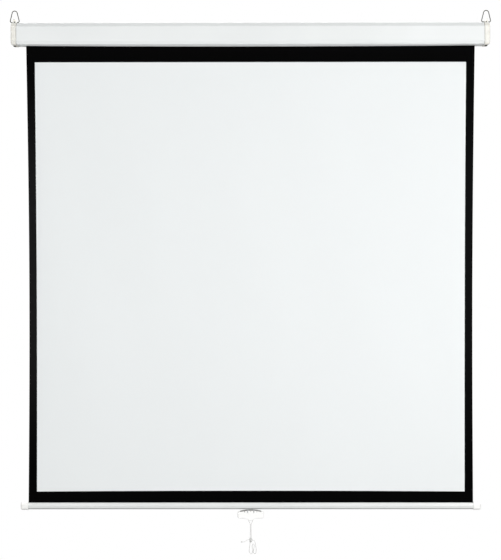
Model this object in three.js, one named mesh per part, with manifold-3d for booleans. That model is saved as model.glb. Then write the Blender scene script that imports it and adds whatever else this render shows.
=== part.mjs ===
// Manual pull-down projector screen on a spring roller, shown fully pulled down.
// Millimetres. +X is the viewer's right, the viewer stands at -Y, +Z is up.
// The origin is the middle of the housing's back face, where it meets the wall.
import * as THREE from "three";
import { mergeVertices } from "three/addons/utils/BufferGeometryUtils.js";
import Module from "manifold-3d";

const wasm = await Module();
wasm.setup();

// Viewing area and the black border round it
const VIEW_WIDTH = 1524;
const VIEW_HEIGHT = 1524;
const BORDER_SIDE = 30;
const BORDER_BOTTOM = 39;
const DROP_SEEN = 57;
const FABRIC = 0.4;

// How the hanging sheet departs from a flat plane
const CURL_REACH = 90;
const CURL_DEPTH = 10;
const CURL_DRAW_LEFT = 8;
const CURL_DRAW_RIGHT = 4.4;
const WAVE_DEPTH = 1.6;
const CREASE_DEPTH = 2.6;
const CREASE_WIDTH = 85;

// Housing, a roll-formed steel case
const CASE_PAST_SHEET = 26;
const CASE_HEIGHT = 76;
const CASE_DEPTH = 66;
const CASE_WALL = 1;
const CASE_BEVEL = 14;
const LIP_HEIGHT = 11;
const LIP_IN = 4;
const CASE_ROUND = 5;
const CREASE_ROUND = 1.5;
const SLOT_WIDTH = 13;

// Fits and clearances
const FIT = 0.3;
const OVERRUN = 1;

// End caps with their hanging lugs
const CAP_LENGTH = 20;
const CAP_PROUD = 1.2;
const CAP_ROUND = 5;
const CAP_END_WALL = 3.6;
const CAP_WALL = 2.2;
const PLUG_LENGTH = 18;
const LUG_BASE = 16;
const LUG_TOP = 9;
const LUG_HEIGHT = 15;
const LUG_DEPTH = 12;
const LUG_ROUND = 4;
const LUG_FROM_CASE = 11;
const BORE_HEIGHT = 3.5;

// Hanging bails, bent from one wire whose ends meet in the lug
const WIRE = 3;
const BAIL_BASE = 34;
const BAIL_TOP = 18;
const BAIL_HEIGHT = 40;
const BAIL_BEND = 5;
const BAIL_JOINT = 1;

// Steel end plates and the screws that hold them
const PLATE = 2;
const PLATE_MARGIN = 2;
const FLANGE = 14;
const SCREW = 4;
const SCREW_HEAD = 8;
const SCREW_HEAD_HEIGHT = 2.2;
const SCREW_GRIP = 2;
const FOOT_HEAD = 10;
const FOOT_HEAD_HEIGHT = 3;
const END_SCREW_RISE = 22;

// Spring roller
const ROLLER_FROM_WALL = 36;
const TUBE = 32;
const TUBE_WALL = 2;
const TUBE_SHORTER = 12;
const GROOVE_WIDTH = 5;
const GROOVE_DEPTH = 1.4;
const TURNS_LEFT = 3;
const ROD = 8;
const ROD_FLAT = 4;
const ROD_FLAT_LENGTH = 12;
const PLUG_FLANGE = 3;
const END_PLUG_LENGTH = 22;
const HUB = 14;
const HUB_LENGTH = 5;
const COLLAR = 14;
const COLLAR_LENGTH = 16;
const SPRING_LENGTH = 150;
const SPRING_WIRE = 2.5;
const SPRING_CLEAR = 1.1;
const SPRING_CURLS = 16;
const BUSH = 13;
const BUSH_FLANGE = 18;
const BUSH_FLANGE_LENGTH = 2;

// Pawls that catch in the ratchet hub
const PAWL_OUT = 9.5;
const PAWL_RISE = 9.5;
const PAWL_WIDTH = 4;
const PAWL_BOSS = 6.4;
const PAWL_PIN = 3;
const PAWL_PIN_HEAD = 5;
const PAWL_PIN_HEAD_LENGTH = 1;
const PAWL_SIDE = 0.5;
const NOTCH_WIDTH = 5;
const NOTCH_FLOOR = 4.3;
const NOTCH_AHEAD = 0.6;

// Bottom bar
const BAR_HEIGHT = 24;
const BAR_DEPTH = 16;
const BAR_WALL = 1.2;
const BAR_ROUND = 6.5;
const BAR_SLOT = 2.4;
const BAR_CAP_LENGTH = 27;
const BAR_CAP_PROUD = 1.8;
const BAR_COLLAR = 7;
const BAR_COLLAR_PROUD = 0.5;
const BAR_CAP_ROUND = 6;
const BAR_CAP_WALL = 2;
const BAR_PLUG = 15;
const HEM_ROD = 4.4;
const HEM_SHORTER = 20;

// Pull handle, hung under the bar on a pin through a bracket's two ears
const HANDLE_WIDTH = 94;
const HANDLE_DEPTH = 14;
const HANDLE_FOOT_DEPTH = 11;
const HANDLE_GAP = 1.5;
const HANDLE_SHOULDER = 82;
const HANDLE_ARCH = 6;
const HANDLE_SIDE_TOP = 3.5;
const HANDLE_SIDE_FOOT = 20.5;
const HANDLE_FOOT = 24.5;
const HANDLE_BULGE = 8;
const HANDLE_BULGE_WIDTH = 44;
const HANDLE_ROUND = 3;
const EAR_SPACING = 22;
const EAR = 3;
const EAR_DEPTH = 7;
const EAR_BELOW_PIN = 3.5;
const BRACKET_PLATE = 2;
const BRACKET_LENGTH = 34;
const PIN = 3;
const PIN_LENGTH = 36;
const RECESS_WIDTH = 80;
const RECESS_TOP = 8;
const RECESS_FOOT = 21;
const RECESS_FRONT_WALL = 3.2;
const RECESS_ROUND = 4;

// Pull cord
const CORD = 2;
const CORD_HOLE = 3;
const CORD_HOLE_SPACING = 14;
const CORD_MEET_DROP = 13;
const CORD_PAIR = 3;
const LOOP_RISE = 6;
const KNOT_DROP = 62;
const KNOT_HEIGHT = 20;
const KNOT_WIDTH = 12;
const END_KNOT_LENGTH = 9;
const END_KNOT_WIDTH = 4.8;

// How finely round shapes are faceted
const ARC_STEPS = 4;
const FINE_SIDES = 40;
const SIDES = 24;
const SMALL_SIDES = 12;
const CORD_SIDES = 8;
const SPRING_SIDES = 5;
const HANK_STEPS = 64;
const STRAND_STEPS = 14;
const LOOP_STEPS = 24;
const TAIL_STEPS = 10;
const GAP_POINTS = 240;
const STEPS_PER_CURL = 8;
const MERGE = 0.0001;
const LEAST_ROUND = 0.4;

// Places worked out from the sizes above
const SHEET_HALF = VIEW_WIDTH / 2 + BORDER_SIDE;
const CASE_END = SHEET_HALF + CASE_PAST_SHEET;
const CASE_TOP = CASE_HEIGHT / 2;
const SLOT_Z = -CASE_TOP;
const CAP_END = CASE_END + CAP_LENGTH;
const CAP_INNER_END = CAP_END - CAP_END_WALL;
const ROLLER_Y = -ROLLER_FROM_WALL;
const TURNS_R = TUBE / 2 + FIT + TURNS_LEFT * FABRIC;
const SHEET_Y = ROLLER_Y + TURNS_R + FIT + FABRIC / 2;
const VIEW_TOP = SLOT_Z - DROP_SEEN;
const VIEW_FOOT = VIEW_TOP - VIEW_HEIGHT;
const BAR_TOP = VIEW_FOOT - BORDER_BOTTOM;
const BAR_Z = BAR_TOP - BAR_HEIGHT / 2;
const BAR_FOOT = BAR_TOP - BAR_HEIGHT;
const BAR_HALF = SHEET_HALF + FIT;
const PIN_Z = BAR_FOOT - HANDLE_GAP - HANDLE_DEPTH / 2;
const PLATE_OUT = CAP_INNER_END - FIT;
const PLATE_IN = PLATE_OUT - PLATE;
const TUBE_END = CASE_END - TUBE_SHORTER;
const TUBE_INNER_R = TUBE / 2 - TUBE_WALL;
const HUB_FAR = TUBE_END + PLUG_FLANGE + FIT + HUB_LENGTH + PAWL_SIDE;
const LUG_X = CASE_END + LUG_FROM_CASE;
const LUG_Y = -CASE_DEPTH / 2;
const CAP_TOP = CASE_TOP + CAP_PROUD;
const BORE_Z = CAP_TOP + BORE_HEIGHT;
const WASTE = 4 * CASE_END;

// The housing's outer corners as [y, z, round], from the bottom front edge round to the bottom back edge
const CASE_CORNERS = [
  [-CASE_DEPTH + LIP_IN, -CASE_TOP, CREASE_ROUND],
  [-CASE_DEPTH, -CASE_TOP + LIP_HEIGHT, CREASE_ROUND],
  [-CASE_DEPTH, CASE_TOP - CASE_BEVEL, CASE_ROUND],
  [-CASE_DEPTH + CASE_BEVEL, CASE_TOP, CASE_ROUND],
  [0, CASE_TOP, CREASE_ROUND],
  [0, -CASE_TOP, CREASE_ROUND],
];

// The bottom bar's outer corners as [y, z, round]
const BAR_CORNERS = [
  [SHEET_Y - BAR_DEPTH / 2, BAR_FOOT, BAR_ROUND],
  [SHEET_Y - BAR_DEPTH / 2, BAR_TOP, BAR_ROUND],
  [SHEET_Y + BAR_DEPTH / 2, BAR_TOP, BAR_ROUND],
  [SHEET_Y + BAR_DEPTH / 2, BAR_FOOT, BAR_ROUND],
];

// A closed geometry as a solid that can be joined and cut, with its faces pointing out.
function solidOf(geometry) {
  const bare = geometry.index ? geometry.toNonIndexed() : geometry.clone();
  bare.deleteAttribute("normal");
  bare.deleteAttribute("uv");
  const merged = mergeVertices(bare, MERGE);
  const vertProperties = merged.attributes.position.array;
  const triVerts = new Uint32Array(merged.index.array);
  const made = new wasm.Manifold(new wasm.Mesh({ numProp: 3, vertProperties, triVerts }));
  if (made.volume() >= 0) return made;
  const turned = triVerts.map((_, i) => triVerts[i - (i % 3) + 2 - (i % 3)]);
  return new wasm.Manifold(new wasm.Mesh({ numProp: 3, vertProperties, triVerts: turned }));
}

// A solid as a geometry that a mesh can show.
function geometryOf(solid) {
  const { vertProperties, triVerts } = solid.getMesh();
  const geometry = new THREE.BufferGeometry();
  geometry.setAttribute("position", new THREE.BufferAttribute(new Float32Array(vertProperties), 3));
  geometry.setIndex(new THREE.BufferAttribute(new Uint32Array(triVerts), 1));
  return geometry;
}

function join(first, ...others) {
  return others.reduce((whole, other) => whole.add(other), first);
}

function cut(first, ...others) {
  return others.reduce((whole, other) => whole.subtract(other), first);
}

// The same solid on the other side of the screen's middle.
function mirrored(solid) {
  const geometry = geometryOf(solid);
  geometry.applyMatrix4(new THREE.Matrix4().makeScale(-1, 1, 1));
  return solidOf(geometry);
}

// Rounds the corners of an outline whose corners are [a, b, round].
function rounded(corners) {
  const count = corners.length;
  return corners.flatMap(([a, b, round], i) => {
    const corner = new THREE.Vector2(a, b);
    if (!round) return [corner];
    const [beforeA, beforeB] = corners[(i + count - 1) % count];
    const [afterA, afterB] = corners[(i + 1) % count];
    const back = new THREE.Vector2(beforeA, beforeB).sub(corner).normalize();
    const ahead = new THREE.Vector2(afterA, afterB).sub(corner).normalize();
    const half = back.angleTo(ahead) / 2;
    const inward = back.clone().add(ahead).normalize();
    const centre = corner.clone().addScaledVector(inward, round / Math.sin(half));
    const start = corner.clone().addScaledVector(back, round / Math.tan(half)).sub(centre);
    const end = corner.clone().addScaledVector(ahead, round / Math.tan(half)).sub(centre);
    const turn = Math.atan2(start.cross(end), start.dot(end));
    return Array.from({ length: ARC_STEPS + 1 }, (_, k) => {
      const angle = start.angle() + (turn * k) / ARC_STEPS;
      return new THREE.Vector2(Math.cos(angle), Math.sin(angle)).multiplyScalar(round).add(centre);
    });
  });
}

// Moves each side of a convex outline inwards by a distance, or outwards where it is negative.
function inset(corners, distance) {
  const count = corners.length;
  const turn = THREE.ShapeUtils.isClockWise(corners.map(([x, y]) => ({ x, y }))) ? -1 : 1;
  const inwardOf = (from, to) => {
    const side = new THREE.Vector2(to[0] - from[0], to[1] - from[1]).normalize();
    return new THREE.Vector2(-side.y, side.x).multiplyScalar(turn);
  };
  return corners.map((corner, i) => {
    const first = inwardOf(corners[(i + count - 1) % count], corner);
    const second = inwardOf(corner, corners[(i + 1) % count]);
    const reach = distance / (1 + first.dot(second));
    const [a, b, round] = corner;
    const moved = first.add(second).multiplyScalar(reach);
    return [a + moved.x, b + moved.y, Math.max(round - distance, LEAST_ROUND)];
  });
}

function circle(diameter, sides, a = 0, b = 0) {
  return Array.from({ length: sides }, (_, k) => {
    const angle = (2 * Math.PI * (k + 0.5)) / sides;
    return new THREE.Vector2(a + (diameter / 2) * Math.cos(angle), b + (diameter / 2) * Math.sin(angle));
  });
}

function rectangle(a0, a1, b0, b1) {
  return [[a0, b0], [a1, b0], [a1, b1], [a0, b1]].map(([a, b]) => new THREE.Vector2(a, b));
}

function extruded(points, depth) {
  return new THREE.ExtrudeGeometry(new THREE.Shape(points), { depth, bevelEnabled: false });
}

// An outline of (y, z) points, extruded from one x to another.
function alongX(points, x0, x1) {
  const geometry = extruded(points, x1 - x0);
  const axes = [new THREE.Vector3(0, 1, 0), new THREE.Vector3(0, 0, 1), new THREE.Vector3(1, 0, 0)];
  geometry.applyMatrix4(new THREE.Matrix4().makeBasis(...axes));
  return solidOf(geometry.translate(x0, 0, 0));
}

// An outline of (x, z) points, extruded from one y to another.
function alongY(points, y0, y1) {
  const geometry = extruded(points, y1 - y0);
  const axes = [new THREE.Vector3(1, 0, 0), new THREE.Vector3(0, 0, 1), new THREE.Vector3(0, -1, 0)];
  geometry.applyMatrix4(new THREE.Matrix4().makeBasis(...axes));
  return solidOf(geometry.translate(0, y1, 0));
}

// An outline of (x, y) points, extruded from one z to another.
function alongZ(points, z0, z1) {
  return solidOf(extruded(points, z1 - z0).translate(0, 0, z0));
}

function box(x0, x1, y0, y1, z0, z1) {
  return alongZ(rectangle(x0, x1, y0, y1), z0, z1);
}

// A round bar along the roller's axis.
function onRoller(diameter, x0, x1, sides = SIDES) {
  return alongX(circle(diameter, sides, ROLLER_Y), x0, x1);
}

// A body through sections of (y, z) points, each at its own x, closed at both ends.
function loft(sections) {
  const count = sections[0].points.length;
  for (const { points } of sections) {
    if (THREE.ShapeUtils.isClockWise(points)) points.reverse();
  }
  const places = sections.flatMap(({ x, points }) => points.flatMap((p) => [x, p.x, p.y]));
  const faces = [];
  for (let s = 0; s + 1 < sections.length; s++) {
    for (let k = 0; k < count; k++) {
      const [a, b] = [s * count + k, s * count + ((k + 1) % count)];
      faces.push(a, b, b + count, a, b + count, a + count);
    }
  }
  const last = (sections.length - 1) * count;
  for (const [p, q, r] of THREE.ShapeUtils.triangulateShape(sections[0].points, [])) {
    faces.push(r, q, p);
  }
  for (const [p, q, r] of THREE.ShapeUtils.triangulateShape(sections.at(-1).points, [])) {
    faces.push(last + p, last + q, last + r);
  }
  const geometry = new THREE.BufferGeometry();
  geometry.setAttribute("position", new THREE.Float32BufferAttribute(places, 3));
  geometry.setIndex(faces);
  return solidOf(geometry);
}

// A body on a convex outline from x0 to x1, whose edge at x1 is rounded.
function roundEnded(corners, x0, x1, round) {
  const sections = [{ x: x0, points: rounded(corners) }];
  for (let k = 0; k <= ARC_STEPS; k++) {
    const angle = (Math.PI * k) / (2 * ARC_STEPS);
    const x = x1 - round * (1 - Math.sin(angle));
    sections.push({ x, points: rounded(inset(corners, round * (1 - Math.cos(angle)))) });
  }
  return loft(sections);
}

// A round tube along a curve, with flat ends square to it.
function tubeAlong(curve, diameter, sides, steps) {
  const section = new THREE.Shape(circle(diameter, sides));
  return solidOf(new THREE.ExtrudeGeometry(section, { steps, bevelEnabled: false, extrudePath: curve }));
}

// A smooth curve through hand-picked places, each [x, y, z].
function routeThrough(places) {
  const points = places.map((place) => new THREE.Vector3(...place));
  return new THREE.CatmullRomCurve3(points, false, "centripetal");
}

// Straight runs and the arcs between them, as one curve through (x, z) points at one y.
function bentWire(points, y) {
  const path = new THREE.CurvePath();
  for (let i = 0; i + 1 < points.length; i++) {
    const [from, to] = [points[i], points[i + 1]];
    path.add(new THREE.LineCurve3(new THREE.Vector3(from.x, y, from.y), new THREE.Vector3(to.x, y, to.y)));
  }
  return path;
}

const WHITE_STEEL = { color: 0xeef2f1, roughness: 0.38, metalness: 0.1 };
const IVORY_PLASTIC = { color: 0xe9e8dc, roughness: 0.5, metalness: 0 };
const WHITE_PLASTIC = { color: 0xf4f5f3, roughness: 0.42, metalness: 0 };
const DARK_WIRE = { color: 0x4a4a45, roughness: 0.4, metalness: 0.9 };
const ZINC_STEEL = { color: 0x8f9294, roughness: 0.35, metalness: 0.95 };
const DARK_SCREW = { color: 0x2d2c28, roughness: 0.45, metalness: 0.8 };
const BARE_ALUMINIUM = { color: 0xc9ccd0, roughness: 0.4, metalness: 0.9 };
const SPRING_STEEL = { color: 0x6f7173, roughness: 0.35, metalness: 0.95 };
const GREY_NYLON = { color: 0xb9bab4, roughness: 0.6, metalness: 0 };
const MATT_WHITE = { color: 0xf2f5f5, roughness: 0.95, metalness: 0 };
const MATT_BLACK = { color: 0x0b0b0c, roughness: 0.9, metalness: 0 };
const WHITE_CORD = { color: 0xf1f1ee, roughness: 0.85, metalness: 0 };

const screen = new THREE.Group();

// Adds one named piece to the screen.
function piece(name, solid, finish) {
  const mesh = new THREE.Mesh(geometryOf(solid), new THREE.MeshStandardMaterial(finish));
  mesh.name = name;
  screen.add(mesh);
}

// Housing with the slot that the fabric comes out of.
function housing() {
  const outside = alongX(rounded(CASE_CORNERS), -CASE_END, CASE_END);
  const inside = alongX(rounded(inset(CASE_CORNERS, CASE_WALL)), -CASE_END - OVERRUN, CASE_END + OVERRUN);
  const [slotFront, slotBack] = [SHEET_Y - SLOT_WIDTH / 2, SHEET_Y + SLOT_WIDTH / 2];
  const [below, above] = [SLOT_Z - OVERRUN, SLOT_Z + CASE_WALL + OVERRUN];
  const slot = box(-CASE_END - OVERRUN, CASE_END + OVERRUN, slotFront, slotBack, below, above);
  piece("case_shell", cut(outside, inside, slot), WHITE_STEEL);
}

// The screw holes of an end cap: one through its end wall and one up through its floor.
function capScrewHoles() {
  const past = CAP_END + OVERRUN;
  const endHole = circle(SCREW + 2 * FIT, SMALL_SIDES, LUG_Y, END_SCREW_RISE);
  const endHead = circle(SCREW_HEAD + 2 * FIT, SMALL_SIDES, LUG_Y, END_SCREW_RISE);
  const headSeat = CAP_END - SCREW_HEAD_HEIGHT - FIT;
  const floorHole = circle(SCREW + 2 * FIT, SMALL_SIDES, LUG_X, LUG_Y);
  return [
    alongX(endHole, CASE_END, past),
    alongX(endHead, headSeat, past),
    alongZ(floorHole, -CAP_TOP - OVERRUN, -CASE_TOP / 2),
  ];
}

// The end caps stand proud of the housing all round but at the wall.
function capCorners() {
  return inset(CASE_CORNERS, -CAP_PROUD).map(([y, z, round]) => [Math.min(y, 0), z, round]);
}

// Right end cap: a skin outside the housing's end, a plug inside it, and the lug for the bail.
function endCap() {
  const skin = roundEnded(capCorners(), CASE_END + FIT, CAP_END, CAP_ROUND);
  const plugCorners = inset(CASE_CORNERS, CASE_WALL + FIT);
  const plugFrom = CASE_END - PLUG_LENGTH;
  const plug = alongX(rounded(plugCorners), plugFrom, CASE_END + CAP_LENGTH / 2);
  const hollow = alongX(rounded(inset(plugCorners, CAP_WALL)), plugFrom - OVERRUN, CAP_INNER_END);
  const lugCorners = [
    [LUG_X - LUG_BASE / 2, CASE_TOP, 0],
    [LUG_X + LUG_BASE / 2, CASE_TOP, 0],
    [LUG_X + LUG_TOP / 2, CAP_TOP + LUG_HEIGHT, LUG_ROUND],
    [LUG_X - LUG_TOP / 2, CAP_TOP + LUG_HEIGHT, LUG_ROUND],
  ];
  const lug = alongY(rounded(lugCorners), LUG_Y - LUG_DEPTH / 2, LUG_Y + LUG_DEPTH / 2);
  const bore = alongX(circle(WIRE + 2 * FIT, SMALL_SIDES, LUG_Y, BORE_Z), CASE_END, CAP_END + OVERRUN);
  return cut(join(cut(join(skin, plug), hollow), lug), bore, ...capScrewHoles());
}

// Right end plate: a steel plate against the cap's end wall, with a flange that the floor screw goes into.
function endPlate(axleHole) {
  const corners = inset(CASE_CORNERS, CASE_WALL + 2 * FIT + CAP_WALL);
  const plate = alongX(rounded(inset(corners, PLATE_MARGIN)), PLATE_IN, PLATE_OUT);
  const flangeZ = corners[0][1];
  const [front, back] = [corners[0][0] + PLATE_MARGIN, corners.at(-1)[0] - PLATE_MARGIN];
  const flange = box(PLATE_OUT - FLANGE, PLATE_OUT, front, back, flangeZ, flangeZ + PLATE);
  const web = box(PLATE_IN, PLATE_OUT, front, back, flangeZ, flangeZ + PLATE + PLATE_MARGIN);
  const [endHole, , floorHole] = capScrewHoles();
  return cut(join(plate, flange, web), axleHole, endHole, floorHole);
}

// Right-hand screw through the cap's end wall into the plate.
function endScrew() {
  const shaft = circle(SCREW, SMALL_SIDES, LUG_Y, END_SCREW_RISE);
  const head = circle(SCREW_HEAD, SMALL_SIDES, LUG_Y, END_SCREW_RISE);
  const headSeat = CAP_END - SCREW_HEAD_HEIGHT;
  return join(alongX(shaft, PLATE_IN - SCREW_GRIP, CAP_END - OVERRUN), alongX(head, headSeat, CAP_END));
}

// Right-hand screw up through the cap's floor into the plate's flange, with a proud dark head.
function footScrew() {
  const headTop = -CAP_TOP - FIT;
  const tip = -CASE_TOP + CASE_WALL + CAP_WALL + PLATE + SCREW_GRIP + FIT;
  const shaft = alongZ(circle(SCREW, SMALL_SIDES, LUG_X, LUG_Y), headTop - OVERRUN, tip);
  const head = circle(FOOT_HEAD, SMALL_SIDES, LUG_X, LUG_Y);
  return join(shaft, alongZ(head, headTop - FOOT_HEAD_HEIGHT, headTop));
}

function housingEnds() {
  const cap = endCap();
  piece("end_cap_right", cap, IVORY_PLASTIC);
  piece("end_cap_left", mirrored(cap), IVORY_PLASTIC);
  const bushHole = onRoller(BUSH + 2 * FIT, CASE_END, CAP_END);
  const keyHalf = ROD_FLAT / 2 + FIT;
  const rodHalf = ROD / 2 + FIT;
  const keySlot = box(CASE_END, CAP_END, ROLLER_Y - keyHalf, ROLLER_Y + keyHalf, -rodHalf, rodHalf);
  piece("end_plate_right", endPlate(bushHole), ZINC_STEEL);
  piece("end_plate_left", mirrored(endPlate(keySlot)), ZINC_STEEL);
  piece("cap_screw_right_end", endScrew(), ZINC_STEEL);
  piece("cap_screw_left_end", mirrored(endScrew()), ZINC_STEEL);
  piece("cap_screw_right_foot", footScrew(), DARK_SCREW);
  piece("cap_screw_left_foot", mirrored(footScrew()), DARK_SCREW);
}

// Right-hand bail: a wire bent to a rounded trapezium, whose ends nearly meet inside the lug's bore.
function bail() {
  const top = BORE_Z + BAIL_HEIGHT;
  const bends = rounded([
    [LUG_X, BORE_Z, 0],
    [LUG_X + BAIL_BASE / 2, BORE_Z, BAIL_BEND],
    [LUG_X + BAIL_TOP / 2, top, BAIL_BEND],
    [LUG_X - BAIL_TOP / 2, top, BAIL_BEND],
    [LUG_X - BAIL_BASE / 2, BORE_Z, BAIL_BEND],
  ]);
  const start = new THREE.Vector2(LUG_X + BAIL_JOINT / 2, BORE_Z);
  const end = new THREE.Vector2(LUG_X - BAIL_JOINT / 2, BORE_Z);
  return tubeAlong(bentWire([start, ...bends.slice(1), end], LUG_Y), WIRE, CORD_SIDES, 2 * FINE_SIDES);
}

function bails() {
  piece("bail_right", bail(), DARK_WIRE);
  piece("bail_left", mirrored(bail()), DARK_WIRE);
}

// Roller tube with the groove that its fabric spline is pressed into, and the fabric still wound on it.
function rollerTube() {
  const bore = onRoller(2 * TUBE_INNER_R, -TUBE_END - OVERRUN, TUBE_END + OVERRUN, FINE_SIDES);
  const tube = cut(onRoller(TUBE, -TUBE_END, TUBE_END, FINE_SIDES), bore);
  const [grooveTop, grooveFloor] = [TUBE / 2 + OVERRUN, TUBE / 2 - GROOVE_DEPTH];
  const [front, back] = [ROLLER_Y - GROOVE_WIDTH / 2, ROLLER_Y + GROOVE_WIDTH / 2];
  const groove = box(-TUBE_END - OVERRUN, TUBE_END + OVERRUN, front, back, grooveFloor, grooveTop);
  piece("roller_tube", cut(tube, groove), BARE_ALUMINIUM);
  const [strip, floor] = [GROOVE_WIDTH / 2 - FIT, grooveFloor + FIT];
  const splineTop = floor + GROOVE_DEPTH / 2;
  const spline = box(-SHEET_HALF, SHEET_HALF, ROLLER_Y - strip, ROLLER_Y + strip, floor, splineTop);
  piece("fabric_spline", spline, GREY_NYLON);
  const inside = onRoller(TUBE + 2 * FIT, -WASTE, WASTE, FINE_SIDES);
  const turns = onRoller(2 * TURNS_R, -SHEET_HALF, SHEET_HALF, FINE_SIDES);
  piece("fabric_turns", cut(turns, inside), MATT_BLACK);
}

// A plug in one end of the tube: its flange covers the tube's end, its body fits the bore. Right-hand.
function endPlug(holeDiameter) {
  const flangeFrom = TUBE_END + FIT;
  const bodyTo = flangeFrom + PLUG_FLANGE / 2;
  const body = onRoller(2 * (TUBE_INNER_R - FIT), TUBE_END - END_PLUG_LENGTH, bodyTo);
  const flange = onRoller(TUBE - 2 * FIT, flangeFrom, flangeFrom + PLUG_FLANGE);
  return cut(join(body, flange), onRoller(holeDiameter, 0, CAP_END));
}

// The pivot of a pawl about the roller's axis; the second pawl sits half a turn on.
function pawlPivot(side) {
  return [ROLLER_Y - side * PAWL_OUT, side * PAWL_RISE];
}

// A pawl lies beside the hub with its nose over the notch, lifted clear of it.
function pawl(side) {
  const [pivotY, pivotZ] = pawlPivot(side);
  const near = TUBE_END + FIT + PLUG_FLANGE + PAWL_SIDE;
  const lever = alongX(
    rectangle(pivotY, pivotY + side * PAWL_OUT, pivotZ - PAWL_WIDTH / 2, pivotZ + PAWL_WIDTH / 2),
    near,
    near + HUB_LENGTH - PAWL_SIDE,
  );
  const boss = alongX(circle(PAWL_BOSS, SMALL_SIDES, pivotY, pivotZ), near, near + HUB_LENGTH - PAWL_SIDE);
  const bore = alongX(circle(PAWL_PIN + 2 * FIT, SMALL_SIDES, pivotY, pivotZ), 0, CAP_END);
  return cut(join(lever, boss), bore);
}

// A shouldered pin through the plug's flange that a pawl turns on.
function pawlPin(side) {
  const shaft = circle(PAWL_PIN, SMALL_SIDES, ...pawlPivot(side));
  const head = circle(PAWL_PIN_HEAD, SMALL_SIDES, ...pawlPivot(side));
  const headFrom = HUB_FAR + FIT;
  return join(
    alongX(shaft, TUBE_END + FIT + PLUG_FLANGE / 2, headFrom + FIT),
    alongX(head, headFrom, headFrom + PAWL_PIN_HEAD_LENGTH),
  );
}

// Ratchet hub on the still rod, with two notches half a turn apart.
function ratchetHub() {
  const near = HUB_FAR - HUB_LENGTH;
  const disc = onRoller(HUB, near, HUB_FAR, FINE_SIDES);
  const notches = [1, -1].map((side) => {
    const [first, second] = [ROLLER_Y + side * NOTCH_AHEAD, ROLLER_Y + side * (NOTCH_AHEAD - NOTCH_WIDTH)];
    const points = rectangle(first, second, side * NOTCH_FLOOR, side * HUB);
    return alongX(points, near - OVERRUN, HUB_FAR + OVERRUN);
  });
  return cut(disc, ...notches, onRoller(ROD + 2 * FIT, near - OVERRUN, HUB_FAR + OVERRUN));
}

const COLLAR_X = TUBE_END - END_PLUG_LENGTH - FIT - COLLAR_LENGTH;
const SPRING_START = COLLAR_X + COLLAR_LENGTH - SPRING_WIRE;
const SPRING_END = SPRING_START - SPRING_LENGTH;
const ROD_TIP = SPRING_END - COLLAR_LENGTH / 2;

// Helix about the roller's axis, from the still collar to the plug that turns.
class SpringCurve extends THREE.Curve {
  getPoint(t, target = new THREE.Vector3()) {
    const radius = COLLAR / 2 + SPRING_CLEAR + SPRING_WIRE / 2;
    const angle = 2 * Math.PI * SPRING_CURLS * t;
    const x = SPRING_START + (SPRING_END - SPRING_START) * t;
    return target.set(x, ROLLER_Y + radius * Math.cos(angle), radius * Math.sin(angle));
  }
}

// The rod that stays still: a flat key in the plate's slot, then a round rod down the spring's middle.
function stillRod() {
  const keyFrom = PLATE_IN - ROD_FLAT_LENGTH;
  const round = onRoller(ROD, ROD_TIP, keyFrom);
  const blank = onRoller(ROD, keyFrom - OVERRUN, PLATE_OUT);
  const half = ROD_FLAT / 2;
  const flats = box(keyFrom - OVERRUN, PLATE_OUT, ROLLER_Y - half, ROLLER_Y + half, -ROD, ROD);
  return join(round, blank.intersect(flats));
}

// The spring end is modelled on the right and mirrored to the left, where it is.
function springEnd() {
  const plugBore = ROD + 2 * FIT;
  const pins = [1, -1].map((side) => {
    const hole = circle(PAWL_PIN + 2 * FIT, SMALL_SIDES, ...pawlPivot(side));
    return alongX(hole, TUBE_END + FIT + PLUG_FLANGE / 4, CAP_END);
  });
  piece("spring_end_plug", mirrored(cut(endPlug(plugBore), ...pins)), GREY_NYLON);
  piece("pawl_pin_upper", mirrored(pawlPin(1)), ZINC_STEEL);
  piece("pawl_pin_lower", mirrored(pawlPin(-1)), ZINC_STEEL);
  piece("pawl_upper", mirrored(pawl(1)), ZINC_STEEL);
  piece("pawl_lower", mirrored(pawl(-1)), ZINC_STEEL);
  piece("ratchet_hub", mirrored(ratchetHub()), ZINC_STEEL);
  piece("still_rod", mirrored(stillRod()), ZINC_STEEL);
  const collar = cut(onRoller(COLLAR, COLLAR_X, COLLAR_X + COLLAR_LENGTH), onRoller(plugBore, 0, CAP_END));
  piece("spring_collar", mirrored(collar), GREY_NYLON);
  const spring = tubeAlong(new SpringCurve(), SPRING_WIRE, SPRING_SIDES, SPRING_CURLS * STEPS_PER_CURL);
  piece("torsion_spring", mirrored(spring), SPRING_STEEL);
  const spigot = onRoller(COLLAR, SPRING_END - COLLAR_LENGTH / 2, SPRING_END + COLLAR_LENGTH);
  const disc = onRoller(2 * (TUBE_INNER_R - FIT), SPRING_END - COLLAR_LENGTH, SPRING_END - SPRING_WIRE);
  const driver = cut(join(spigot, disc), onRoller(plugBore, ROD_TIP - FIT, CAP_END));
  piece("spring_driver_plug", mirrored(driver), GREY_NYLON);
}

// The plain end: a plug with a pin that turns in a bush in the right end plate.
function plainEnd() {
  piece("idle_plug", endPlug(ROD + 2 * FIT), GREY_NYLON);
  piece("idle_pin", onRoller(ROD, TUBE_END - END_PLUG_LENGTH, PLATE_OUT), ZINC_STEEL);
  const sleeve = onRoller(BUSH, PLATE_IN - FIT, PLATE_OUT);
  const flange = onRoller(BUSH_FLANGE, PLATE_IN - FIT - BUSH_FLANGE_LENGTH, PLATE_IN - FIT);
  const bore = onRoller(ROD + 2 * FIT, CASE_END, CAP_END);
  piece("bearing_bush", cut(join(sleeve, flange), bore), WHITE_PLASTIC);
}

// How far the sheet stands from its plane at a place: its curled sides, slow waves and one slanting crease.
const WAVE_SHARES = [
  { across: 2.3, down: 0.6, phase: 0.4, share: 1 },
  { across: 4.6, down: -1.3, phase: 1.9, share: 0.45 },
];
const CREASE_FROM_SHARES = [0.06, 0.24];
const CREASE_TO_SHARES = [0.48, 0.98];

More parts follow.
